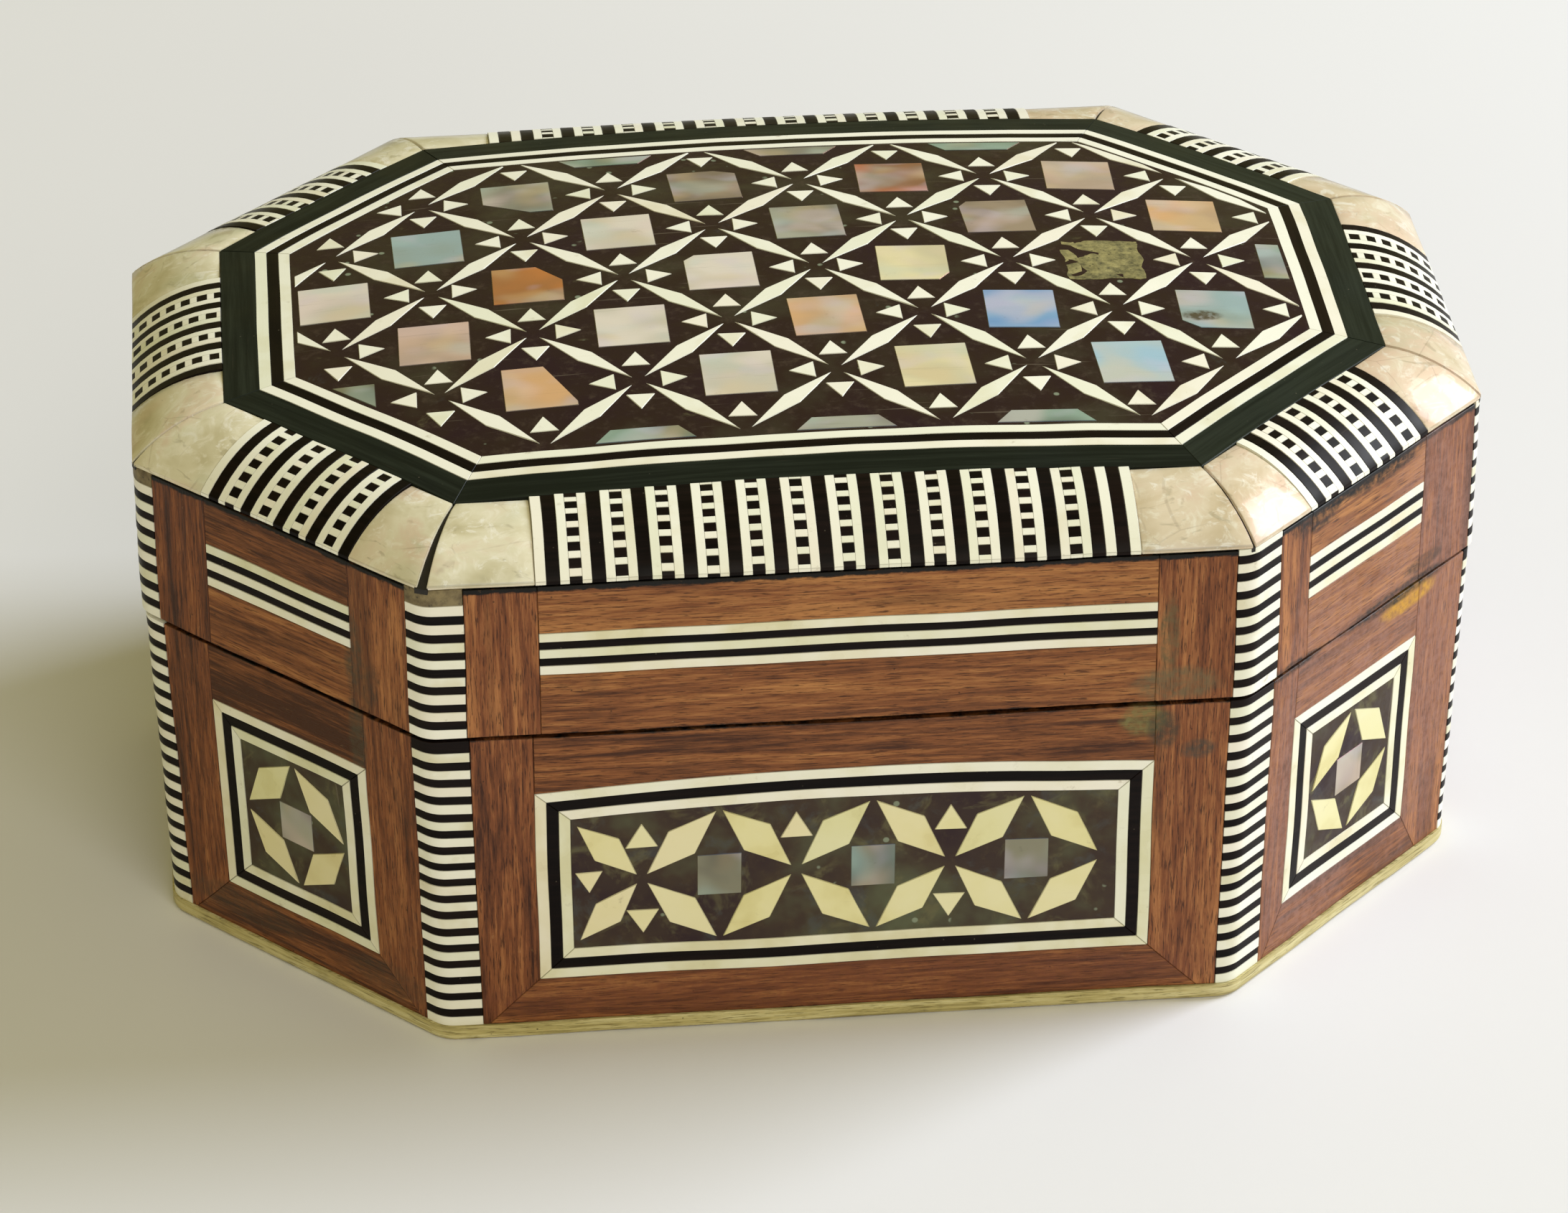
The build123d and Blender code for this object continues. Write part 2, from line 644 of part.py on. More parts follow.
def leaf_nails(x, on_lid):
    """Countersunk nails through a leaf into the wall."""
    nails = []
    for dx in (-NAIL_X, NAIL_X):
        face = LID_BOTTOM if on_lid else BASE_TOP
        way = 1 if on_lid else -1
        plane = Plane(origin=(x + dx, NAIL_Y, face), z_dir=(0, 0, way))
        shank = extrude(plane * Circle(NAIL_R), amount=NAIL_LONG)
        head = loft([(plane * Circle(NAIL_HEAD_R)).face(),
                     (plane.offset(NAIL_HEAD_TALL) * Circle(NAIL_R)).face()])
        nails.append(shank + head)
    return nails


def hinge_cuts():
    """Room in the back walls and veneer for the leaves, the knuckles and the rear stop bevel."""
    cuts = []
    back = HALF_Y + 2
    for x in (-HINGE_X, HINGE_X):
        x0, x1 = x - LEAF_LONG / 2 - 0.3, x + LEAF_LONG / 2 + 0.3
        tall = KNUCKLE_R + 0.25
        cuts.append(box(x0, x1, LEAF_INNER_Y - 0.1, back, BASE_TOP - LEAF_THICK - GLUE,
                        LID_BOTTOM + LEAF_THICK + GLUE))
        cuts.append(box(x0, x1, HINGE_Y - tall, back, HINGE_Z - tall, HINGE_Z + tall))
    reach = HALF_Y + 2 - HINGE_Y
    rise = reach * math.tan(math.radians(STOP_SLOPE))
    wedge = [(HINGE_Y - 0.15, HINGE_Z), (HINGE_Y + reach, HINGE_Z - rise - 0.15),
             (HINGE_Y + reach, HINGE_Z + rise + 0.15)]
    plane = Plane(origin=(-HALF_X, 0, 0), x_dir=(0, 1, 0), z_dir=(1, 0, 0))
    cuts.append(extrude(plane * Polygon(*wedge, align=None), amount=LENGTH))
    return cuts


def cut_for_hinges(pieces, cuts):
    """Take the hinge room out of every piece that reaches it."""
    trimmed = []
    for piece in pieces:
        limits = piece.bounding_box()
        near_rim = limits.min.Z < HINGE_Z + 3 and limits.max.Z > HINGE_Z - 3
        if near_rim and limits.max.Y > LEAF_INNER_Y:
            for cut in cuts:
                piece = piece - cut
        trimmed.append(piece)
    return trimmed


# ---------- assembly ----------
def solids_of(pieces):
    found = []
    for piece in pieces:
        found += piece.solids()
    return found


def write(node, pieces):
    export_step(Compound(children=solids_of(pieces), label=node), f"parts/{node}.step")


def write_sides():
    """Walls, posts, veneer, stringing and panels of the base and the lid."""
    cuts = hinge_cuts()
    nails = {on_lid: leaf_nails(-HINGE_X, on_lid) + leaf_nails(HINGE_X, on_lid) for on_lid in (False, True)}
    for k, side in enumerate(SIDES):
        base, lid = base_wall(k), lid_wall(k)
        if side == "back":
            base, lid = cut_for_hinges([base], cuts + nails[False])[0], cut_for_hinges([lid], cuts + nails[True])[0]
        write(f"base_wall_{side}", cut_for_hinges([base], cuts[-1:]))
        write(f"lid_wall_{side}", cut_for_hinges([lid], cuts[-1:]))
    write("base_corner_posts", cut_for_hinges([base_post(k) for k in range(8)], cuts))
    write("lid_corner_posts", cut_for_hinges([lid_post(k) for k in range(8)], cuts))
    names = ["veneer_rails", "veneer_stiles", "{}_bone", "{}_ebony"]
    for body, face, lines in (("base", base_face, "panel_frame"), ("lid", lid_face, "side_lines")):
        faces = [face(k) for k in range(8)]
        for name, groups in zip(names, zip(*faces)):
            pieces = [piece for group in groups for piece in group]
            write(f"{body}_{name.format(lines)}", cut_for_hinges(pieces, cuts))
    panels = [base_panel(k) for k in range(8)]
    write("base_panel_ground", [panel[0] for panel in panels])
    for i, name in enumerate(("rhombi", "triangles", "pearl"), start=1):
        write(f"base_panel_{name}", [piece for panel in panels for piece in panel[i]])


def write_lid_top():
    """The lid's board, bevel, border, stringing and inlaid field."""
    dome, floor = dome_solid(0), dome_solid(SKIN)
    write("lid_top_board", [lid_board(dome_solid(SKIN + GLUE))])
    sides = [bevel_side(k) for k in range(8)]
    for name, groups in zip(("pearl", "ladders", "bone_lines", "ebony_lines"), zip(*sides)):
        write(f"lid_bevel_{name}", [piece for group in groups for piece in group])
    border, outer, middle, inner = lid_rings(dome, floor)
    write("lid_border_ebony", border)
    write("lid_top_lines_bone", outer + inner)
    write("lid_top_lines_ebony", middle)
    ground, slivers, triangles, squares, slips = lid_field(dome, floor)
    write("lid_field_ground", [ground])
    write("lid_field_slivers", slivers)
    write("lid_field_triangles", triangles)
    write("lid_field_pearl", squares)
    write("lid_edge_pearl", slips)


def write_inside():
    """Bottom board, velvet linings and hinges."""
    write("base_board", [base_board()])
    floor_top = BOARD_THICK + LINING + 0.4
    write("base_floor_lining", [lining_floor(BOARD_THICK, floor_top)])
    write("base_wall_lining", [lining_ring(floor_top, BASE_TOP - 2.5)])
    ceiling = LID_WALL_TOP - LINING - 0.4
    write("lid_top_lining", [lining_floor(ceiling, LID_WALL_TOP)])
    write("lid_wall_lining", [lining_ring(LID_BOTTOM + 2.0, ceiling)])
    for name, x in (("left", -HINGE_X), ("right", HINGE_X)):
        write(f"hinge_base_leaf_{name}", [hinge_leaf(x, False)])
        write(f"hinge_lid_leaf_{name}", [hinge_leaf(x, True)])
        write(f"hinge_pin_{name}", [bar_x(PIN_R, x - LEAF_LONG / 2 - 0.2, x + LEAF_LONG / 2 + 0.2)])
    for name, on_lid in (("base", False), ("lid", True)):
        write(f"hinge_nails_{name}", leaf_nails(-HINGE_X, on_lid) + leaf_nails(HINGE_X, on_lid))


os.makedirs("parts", exist_ok=True)
write_sides()
write_lid_top()
write_inside()
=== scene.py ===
"""Looks of the eight-sided inlaid box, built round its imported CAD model.

Metres, +Z up, the front towards -Y. Each visible node of the model is worked over into a piece that
replaces it: edges are softened, lines stray a little, posts and ladders are split into their layers.
"""

import math
import random

import bmesh
import bpy
from mathutils import Matrix, Vector, noise


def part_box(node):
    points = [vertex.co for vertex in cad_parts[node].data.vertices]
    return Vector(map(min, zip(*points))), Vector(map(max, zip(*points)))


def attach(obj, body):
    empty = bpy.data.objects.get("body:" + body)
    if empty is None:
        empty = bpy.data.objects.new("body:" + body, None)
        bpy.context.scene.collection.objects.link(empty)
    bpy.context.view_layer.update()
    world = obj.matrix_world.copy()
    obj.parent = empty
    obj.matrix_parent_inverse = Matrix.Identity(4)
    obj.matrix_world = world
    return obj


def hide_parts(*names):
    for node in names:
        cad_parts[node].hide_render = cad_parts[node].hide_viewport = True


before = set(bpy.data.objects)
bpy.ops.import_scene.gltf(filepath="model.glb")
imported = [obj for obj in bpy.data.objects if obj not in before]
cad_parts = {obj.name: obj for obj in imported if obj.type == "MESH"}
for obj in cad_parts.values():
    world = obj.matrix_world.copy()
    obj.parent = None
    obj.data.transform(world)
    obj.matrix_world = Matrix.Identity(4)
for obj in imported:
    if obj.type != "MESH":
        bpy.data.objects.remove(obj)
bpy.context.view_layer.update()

MM = 0.001
SIDES = ["front", "front_right", "right", "back_right", "back", "back_left", "left", "front_left"]

# ---- the box's own sizes, in metres ----
LOW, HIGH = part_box("lid_corner_posts")
HALF_X, HALF_Y = HIGH.x, HIGH.y
SPLIT = (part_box("base_corner_posts")[1].z + LOW.z) / 2
BOARD_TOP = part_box("base_board")[1].z
CORNER_CUT = 28.3 * MM
CUT_PER_OFFSET = 2 - math.sqrt(2)
BASE_INSET_TOP = HALF_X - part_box("base_corner_posts")[1].x
BASE_INSET_FOOT = BASE_INSET_TOP + 1.1 * MM
CROWN_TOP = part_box("lid_field_ground")[1].z
CROWN_RX = 615 * MM
CROWN_RY = 308 * MM
BEVEL_WIDE = 9.6 * MM
BEVEL_FOOT = 54.8 * MM
BEVEL_LIP = 0.4 * MM
BEVEL_BULGE = 1.0 * MM
FIELD_INSET = 17.05 * MM
SKIN = 0.96 * MM

# ---- hand work ----
STRAY = 0.11 * MM         # how far lines wander from straight
STRAY_SCALE = 105         # wanders per metre
ARCH = 1.1 * MM           # the front panel's frame bows up this much in the middle
ARCH_MIDDLE = 0.6 * MM    # where along X that middle is, and how far the bow reaches from it
ARCH_HALF = 31.5 * MM
UNEVEN = (0.93, 1.07)     # layers and rungs vary in width between these factors
STRIPE_PAIR = 2.05 * MM   # one bone and one ebony layer of a post
STRIPE_BONE = 1.12 * MM
RUNG_PITCH = 1.78 * MM
RUNG_SQUARE = 1.02 * MM
RAIL_WIDE = 0.95 * MM
LADDER_OUT = 0.905        # a ladder's fall towards the lip, as parts of one
LADDER_DOWN = 0.425
MITRE_GAP = 0.3 * MM      # width at the lip of a gap between two shells
MITRE_GAPS = {7: 0.95 * MM, 6: 0.5 * MM, 0: 0.15 * MM}     # the corners that differ
MITRE_FILL = 0.55 * MM    # depth of the filler in the gaps
POST_PUTTY = {7: 1.9 * MM, 6: 1.7 * MM}     # height of putty on top of two lid posts
PROUD = 0.03 * MM         # how far small inlay stands above its ground
LINE_EDGE = 0.05 * MM     # width of the softened edges
VENEER_EDGE = 0.06 * MM
VELVET_EDGE = 0.3 * MM
BEND = 2.5 * MM           # spacing of the cuts that let a long piece bend

rng = random.Random(7)


def srgb(text):
    """Linear colour from a hex colour."""
    values = [int(text[i:i + 2], 16) / 255 for i in (0, 2, 4)]
    return (*[v / 12.92 if v <= 0.04045 else ((v + 0.055) / 1.055) ** 2.4 for v in values], 1.0)


# ================= plan of the box =================
def octagon(inset):
    a, b = HALF_X - inset, HALF_Y - inset
    c = CORNER_CUT - CUT_PER_OFFSET * inset
    return [Vector(p) for p in ((a - c, -b), (a, c - b), (a, b - c), (a - c, b),
                                (c - a, b), (-a, b - c), (-a, c - b), (c - a, -b))]


def outward(k):
    angle = math.radians(-90 + 45 * k)
    return Vector((math.cos(angle), math.sin(angle), 0))


def along(k):
    angle = math.radians(45 * k)
    return Vector((math.cos(angle), math.sin(angle), 0))


def side_middle(k, inset):
    corners = octagon(inset)
    return ((corners[k - 1] + corners[k]) / 2).to_3d()


def side_of(point):
    """The side whose outer face is nearest to a point."""
    return max(range(8), key=lambda k: point.dot(outward(k)) - side_middle(k, 0).dot(outward(k)))


def crown(x, y):
    ring = CROWN_RX - CROWN_RY + math.sqrt(CROWN_RY ** 2 - y ** 2)
    return CROWN_TOP - CROWN_RX + math.sqrt(ring ** 2 - x ** 2)


def nearest_corner(point):
    return min(range(8), key=lambda k: (octagon(0)[k] - point.to_2d()).length)


def fade(value, low, high):
    t = min(max((value - low) / (high - low), 0), 1)
    return t * t * (3 - 2 * t)


def drift(p):
    """Smooth noise along X, Y and Z. noise.noise_vector isn't used, since it changes from run to run."""
    across, aloft = Vector((31.4, 5.7, 0)), Vector((0, 47.2, 9.3))
    return Vector((noise.noise(p), noise.noise(p + across), noise.noise(p + aloft)))


def strayed(p, body):
    """Where hand work put a point that the drawing has at p."""
    start = Vector((3.1, 7.7, 1.3)) if body == "lid" else Vector((9.2, 0.4, 5.6))
    calm = 1 - 0.85 * fade(p.y, 25 * MM, 42 * MM)
    moved = p + drift(p * STRAY_SCALE + start) * STRAY * calm
    if body == "base" and p.y < -HALF_Y + 6 * MM:
        u = (p.x - ARCH_MIDDLE) / ARCH_HALF
        if abs(u) < 1:
            rise = fade(p.z, 12 * MM, 27 * MM)
            moved.z += ARCH * (1 - u * u) * rise * (1 - fade(p.z, 31.5 * MM, 36.6 * MM))
    return moved


# ================= mesh work =================
def cad_solids(node):
    """Each closed solid of a CAD node as a bmesh with its flat faces whole."""
    whole = bmesh.new()
    whole.from_mesh(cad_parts[node].data)
    bmesh.ops.remove_doubles(whole, verts=whole.verts, dist=2e-6)
    bmesh.ops.dissolve_limit(whole, angle_limit=math.radians(0.4), verts=whole.verts, edges=whole.edges)
    whole.verts.ensure_lookup_table()
    whole.verts.index_update()
    group = [-1] * len(whole.verts)
    solids = []
    for first in whole.verts:
        if group[first.index] >= 0:
            continue
        members, queue = [], [first]
        group[first.index] = len(solids)
        while queue:
            vert = queue.pop()
            members.append(vert)
            for edge in vert.link_edges:
                other = edge.other_vert(vert)
                if group[other.index] < 0:
                    group[other.index] = len(solids)
                    queue.append(other)
        solid = bmesh.new()
        made = {vert.index: solid.verts.new(vert.co) for vert in members}
        faces = {face.index: face for vert in members for face in vert.link_faces}
        for index in sorted(faces):
            solid.faces.new([made[vert.index] for vert in faces[index].verts])
        solid.normal_update()
        solids.append(solid)
    whole.free()
    return solids


def centre(bm):
    total = Vector((0, 0, 0))
    for vert in bm.verts:
        total += vert.co
    return total / len(bm.verts)


def cut(bm, at, facing):
    """Take away what lies beyond a plane and close the cut."""
    geometry = bm.verts[:] + bm.edges[:] + bm.faces[:]
    bmesh.ops.bisect_plane(bm, geom=geometry, dist=1e-7, plane_co=at, plane_no=facing, clear_outer=True)
    bmesh.ops.holes_fill(bm, edges=[edge for edge in bm.edges if edge.is_boundary], sides=0)
    return bm


def sliced(bm, at, direction, edges):
    """Slabs of a solid between the distances edges along direction from the point at."""
    slabs = []
    for low, high in zip(edges, edges[1:]):
        slab = cut(cut(bm.copy(), at + direction * low, -direction), at + direction * high, direction)
        if len(slab.faces) > 3:
            slabs.append(slab)
        else:
            slabs.append(None)
            slab.free()
    return slabs


def dice(bm, direction, spacing):
    """Add cuts across direction, so that the piece can bend."""
    reach = [vert.co.dot(direction) for vert in bm.verts]
    low, high = min(reach), max(reach)
    for i in range(1, int((high - low) / spacing) + 1):
        at = direction * (low + i * (high - low) / (int((high - low) / spacing) + 1))
        geometry = bm.verts[:] + bm.edges[:] + bm.faces[:]
        bmesh.ops.bisect_plane(bm, geom=geometry, dist=1e-7, plane_co=at, plane_no=direction)
    return bm


def soften(bm, width, segments=1):
    """Round the sharp edges of a solid; returns the new faces along them."""
    bm.normal_update()
    sharp = [edge for edge in bm.edges if edge.is_manifold and edge.calc_face_angle(0) > math.radians(32)]
    if not sharp:
        return set()
    done = bmesh.ops.bevel(bm, geom=sharp, offset=width, segments=segments, profile=0.5,
                           affect="EDGES", clamp_overlap=True)
    return set(done["faces"])


class Piece:
    """One visible object gathered from many small solids."""

    def __init__(self, name, body, slot, material, nodes=(), smooth=False):
        self.name, self.body, self.slot, self.material = name, body, slot, material
        self.nodes, self.smooth = nodes, smooth
        self.points, self.faces, self.maps, self.tints, self.shells = [], [], [], [], []

    def add(self, bm, rims=(), tone=None, upright=False, shell=None):
        """Take in a solid with its own map and tone and, for mother-of-pearl, its two colours; on the veneers
        the tone is partly painted light.
        """
        k = side_of(centre(bm))
        level, out = along(k), outward(k)
        bm.normal_update()
        bm.verts.index_update()
        start = len(self.points)
        self.points += [vert.co.copy() for vert in bm.verts]
        tone = rng.random() if tone is None else tone
        shift = Vector((rng.uniform(0, 1), rng.uniform(0, 1)))
        second = rng.random()
        for face in bm.faces:
            self.faces.append([start + vert.index for vert in face.verts])
            flat, end = abs(face.normal.z) > 0.8, abs(face.normal.dot(level)) > 0.7
            rim = 1.0 if face in rims else 0.0
            for vert in face.verts:
                u = vert.co.dot(out if end and not flat else level)
                v = vert.co.dot(out) if flat else vert.co.z
                u, v = (v, u) if upright else (u, v)
                self.maps.append((u + shift.x, v + shift.y))
                self.tints.append((tone, second, rim, 1.0))
                if shell:
                    self.shells.append(shell)
        bm.free()

    def build(self):
        mesh = bpy.data.meshes.new(self.name)
        mesh.from_pydata(self.points, [], self.faces)
        uv = mesh.uv_layers.new(name="grain")
        uv.data.foreach_set("uv", [value for pair in self.maps for value in pair])
        tint = mesh.color_attributes.new("tint", "FLOAT_COLOR", "CORNER")
        tint.data.foreach_set("color", [value for colour in self.tints for value in colour])
        for index, name in enumerate(("shell_light", "shell_deep")):
            if self.shells:
                layer = mesh.color_attributes.new(name, "FLOAT_COLOR", "CORNER")
                layer.data.foreach_set("color", [value for pair in self.shells for value in pair[index]])
        mesh.materials.append(self.material)
        if self.smooth:
            mesh.shade_smooth()
            mesh.set_sharp_from_angle(angle=math.radians(28))
        made = bpy.data.objects.new(self.name, mesh)
        bpy.context.scene.collection.objects.link(made)
        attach(made, self.body)
        if self.nodes:
            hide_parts(*self.nodes)
        return made


def stray(bm, body):
    for vert in bm.verts:
        vert.co = strayed(vert.co, body)
    return bm


# ================= materials =================
class Look:
    """A node material being put together."""

    def __init__(self, name, roughness=0.4, **plain):
        self.material = bpy.data.materials.new(name)
        self.material.use_nodes = True
        self.tree = self.material.node_tree
        self.surface = self.tree.nodes["Principled BSDF"]
        self.surface.inputs["Roughness"].default_value = roughness
        for key, value in plain.items():
            self.surface.inputs[key.replace("_", " ")].default_value = value
        self.place = self.node("ShaderNodeTexCoord").outputs["Object"]
        self.map = self.node("ShaderNodeUVMap", uv_map="grain").outputs[0]
        tint = self.node("ShaderNodeAttribute", attribute_name="tint").outputs["Color"]
        split = self.node("ShaderNodeSeparateColor", {0: tint})
        self.tone, self.second, self.rim = split.outputs

    def node(self, kind, inputs=None, **settings):
        made = self.tree.nodes.new(kind)
        for key, value in settings.items():
            setattr(made, key, value)
        for key, value in (inputs or {}).items():
            self.put(made.inputs[key], value)
        return made

    def put(self, socket, value):
        if isinstance(value, bpy.types.NodeSocket):
            self.tree.links.new(value, socket)
        else:
            socket.default_value = value

    def noise(self, at, scale, detail=3.0, rough=0.55, distortion=0.0):
        """Noise with its own scale per axis, in features per metre."""
        spread = self.node("ShaderNodeMapping", {"Vector": at, "Scale": scale})
        made = self.node("ShaderNodeTexNoise", {"Vector": spread.outputs[0], "Scale": 1.0, "Detail": detail,
                                                "Roughness": rough, "Distortion": distortion})
        return made.outputs["Fac"]

    def cells(self, at, scale, feature="F1"):
        spread = self.node("ShaderNodeMapping", {"Vector": at, "Scale": scale})
        inputs = {"Vector": spread.outputs[0], "Scale": 1.0}
        return self.node("ShaderNodeTexVoronoi", inputs, feature=feature).outputs[0]

    def math(self, operation, a, b=0.0):
        return self.node("ShaderNodeMath", {0: a, 1: b}, operation=operation).outputs[0]

    def between(self, value, low, high, out_low=0.0, out_high=1.0):
        """Carry value from the range low to high onto another range."""
        inputs = {"Value": value, "From Min": low, "From Max": high, "To Min": out_low, "To Max": out_high}
        return self.node("ShaderNodeMapRange", inputs, interpolation_type="SMOOTHSTEP").outputs[0]

    def mix(self, factor, a, b, blend="MIX"):
        inputs = {0: factor, 6: a, 7: b}
        return self.node("ShaderNodeMix", inputs, data_type="RGBA", blend_type=blend).outputs[2]

    def ramp(self, value, *stops):
        made = self.node("ShaderNodeValToRGB", {0: value})
        elements = made.color_ramp.elements
        while len(elements) < len(stops):
            elements.new(1.0)
        for element, (position, colour) in zip(elements, stops):
            element.position = position
            element.color = colour
        return made.outputs[0]

    def vectors(self, operation, *inputs):
        return self.node("ShaderNodeVectorMath", dict(enumerate(inputs)), operation=operation)

    def blob(self, middle, size):
        """1 inside a ragged spot of the box, 0 outside; middle and size in millimetres."""
        away = self.vectors("SUBTRACT", self.place, [v * MM for v in middle]).outputs[0]
        ratio = self.vectors("DIVIDE", away, [v * MM for v in size]).outputs[0]
        far = self.vectors("LENGTH", ratio).outputs["Value"]
        ragged = self.math("MULTIPLY", self.noise(self.place, (700, 700, 700), 4.0), 0.5)
        worn = self.between(self.noise(self.place, (1500, 1500, 1500), 3.0), 0.3, 0.6, 0.45, 0.95)
        return self.math("MULTIPLY", self.between(self.math("ADD", far, ragged), 1.4, 0.9), worn)

    def seam_darkening(self):
        """1 in a ragged band along the split, the foot and the bevel's lip: painted shade of the gaps there,
        with dirt.
        """
        height = self.node("ShaderNodeSeparateXYZ", {0: self.place}).outputs["Z"]
        ragged = self.math("MULTIPLY", self.noise(self.place, (500, 500, 900), 4.0, 0.7), 0.9 * MM)
        split = self.math("ABSOLUTE", self.math("SUBTRACT", height, SPLIT))
        lip = self.math("ABSOLUTE", self.math("SUBTRACT", height, BEVEL_FOOT - 0.35 * MM))
        foot = self.math("ABSOLUTE", self.math("SUBTRACT", height, BOARD_TOP - 0.35 * MM))
        far = self.math("ADD", self.math("MINIMUM", self.math("MINIMUM", split, lip), foot), ragged)
        return self.between(far, 0.95 * MM, 0.65 * MM)

    def bump(self, height, depth, strength=1.0, under=None):
        """Raise the surface by height times depth, in metres."""
        inputs = {"Height": height, "Distance": depth, "Strength": strength}
        if under:
            inputs["Normal"] = under
        return self.node("ShaderNodeBump", inputs).outputs[0]

    def finish(self, colour, normal=None, roughness=None):
        self.put(self.surface.inputs["Base Color"], colour)
        if normal:
            self.put(self.surface.inputs["Normal"], normal)
        if roughness:
            self.put(self.surface.inputs["Roughness"], roughness)
        return self.material


def lacquer_bump(look, depth=0.03 * MM):
    """Old lacquer: soft unevenness with fine dust in it."""
    waves = look.noise(look.place, (260, 260, 260), 2.0)
    dust = look.noise(look.place, (2600, 2600, 2600), 2.0)
    return look.bump(dust, 0.006 * MM, 0.5, look.bump(waves, depth, 0.6))


def bone_look(name, light, deep, seam_darkening, palest="fdfbf2"):
    look = Look(name, 0.38, Specular_IOR_Level=0.4, Coat_Weight=0.08, Coat_Roughness=0.2)
    cloud = look.noise(look.place, (150, 150, 150), 3.0)
    tone = look.between(look.math("ADD", cloud, look.math("MULTIPLY", look.tone, 0.35)), 0.35, 0.95)
    colour = look.ramp(tone, (0.0, srgb(deep)), (0.3, srgb(light)), (1.0, srgb(palest)))
    colour = look.mix(look.between(look.second, 0.6, 1.0, 0.0, 0.28), colour, srgb("dde4c0"))
    colour = look.mix(look.between(look.second, 0.4, 0.0, 0.0, 0.22), colour, srgb("efdac6"))
    streak = look.noise(look.map, (120, 2200, 1), 3.0, 0.6)
    colour = look.mix(look.between(streak, 0.62, 0.8, 0.0, 0.14), colour, srgb("b3a070"))
    dirt = look.between(look.noise(look.place, (520, 520, 520), 5.0, 0.7), 0.62, 0.78, 0.0, 0.4)
    colour = look.mix(dirt, colour, srgb("8d7a52"))
    colour = look.mix(look.math("MULTIPLY", look.rim, seam_darkening), colour, srgb("3a2c1c"))
    normal = look.bump(streak, 0.012 * MM, 0.5, lacquer_bump(look, 0.02 * MM))
    return look.finish(colour, normal, look.between(cloud, 0.3, 0.7, 0.26, 0.42))


def ebony_look(name, dark, light):
    look = Look(name, 0.4, Specular_IOR_Level=0.1)
    grain = look.noise(look.map, (60, 1500, 1), 4.0, 0.65)
    cloud = look.noise(look.place, (120, 120, 120), 3.0)
    colour = look.mix(look.between(look.math("ADD", grain, look.math("MULTIPLY", look.tone, 0.25)), 0.4, 0.9),
                      srgb(dark), srgb(light))
    scratch = look.between(look.noise(look.map, (90, 3600, 1), 2.0), 0.7, 0.78, 0.0, 0.3)
    colour = look.mix(scratch, colour, srgb("5a5146"))
    dust = look.between(look.cells(look.place, (900, 900, 900)), 0.09, 0.04, 0.0, 0.35)
    colour = look.mix(look.math("MULTIPLY", dust, look.between(cloud, 0.5, 0.65)), colour, srgb("8b8171"))
    normal = look.bump(grain, 0.01 * MM, 0.5, lacquer_bump(look, 0.025 * MM))
    return look.finish(colour, normal, look.between(cloud, 0.3, 0.7, 0.32, 0.5))


def ground_look(name, purple, brown, olive, patches):
    """Dark mastic round the inlay, with lighter filler, bits of shell and scratches in it."""
    look = Look(name, 0.42, Specular_IOR_Level=0.14)
    cloud = look.noise(look.place, (75, 75, 75), 4.0, 0.6)
    fine = look.noise(look.place, (620, 620, 620), 5.0, 0.7)
    colour = look.ramp(cloud, (0.32, srgb(purple)), (0.5, srgb(brown)), (0.68, srgb(olive)))
    colour = look.mix(look.between(fine, 0.5, 0.75, 0.0, 0.4), colour, srgb("5a4c3c"))
    smear = look.noise(look.place, (210, 330, 210), 4.0, 0.65, 0.6)
    smear = look.between(smear, 0.66 - patches, 0.82 - patches, 0.0, 0.6)
    colour = look.mix(smear, colour, srgb("6f6a4c"))
    damp = look.noise(look.place, (300, 240, 300), 4.0, 0.6, 0.4)
    damp = look.between(damp, 0.68 - patches, 0.84 - patches, 0.0, 0.4)
    colour = look.mix(damp, colour, srgb("50565a"))
    chip = look.between(look.cells(look.place, (420, 420, 420)), 0.16, 0.10, 0.0, 0.8)
    chip = look.math("MULTIPLY", chip, look.between(look.noise(look.place, (160, 160, 160), 2.0), 0.56, 0.6))
    colour = look.mix(chip, colour, srgb("8f9a86"))
    scratch = look.noise(look.place, (60, 2400, 60), 2.0, 0.5, 0.4)
    colour = look.mix(look.between(scratch, 0.70, 0.76, 0.0, 0.4), colour, srgb("83786a"))
    normal = look.bump(fine, 0.03 * MM, 0.5, lacquer_bump(look, 0.04 * MM))
    return look.finish(colour, normal, look.between(fine, 0.35, 0.7, 0.3, 0.6))


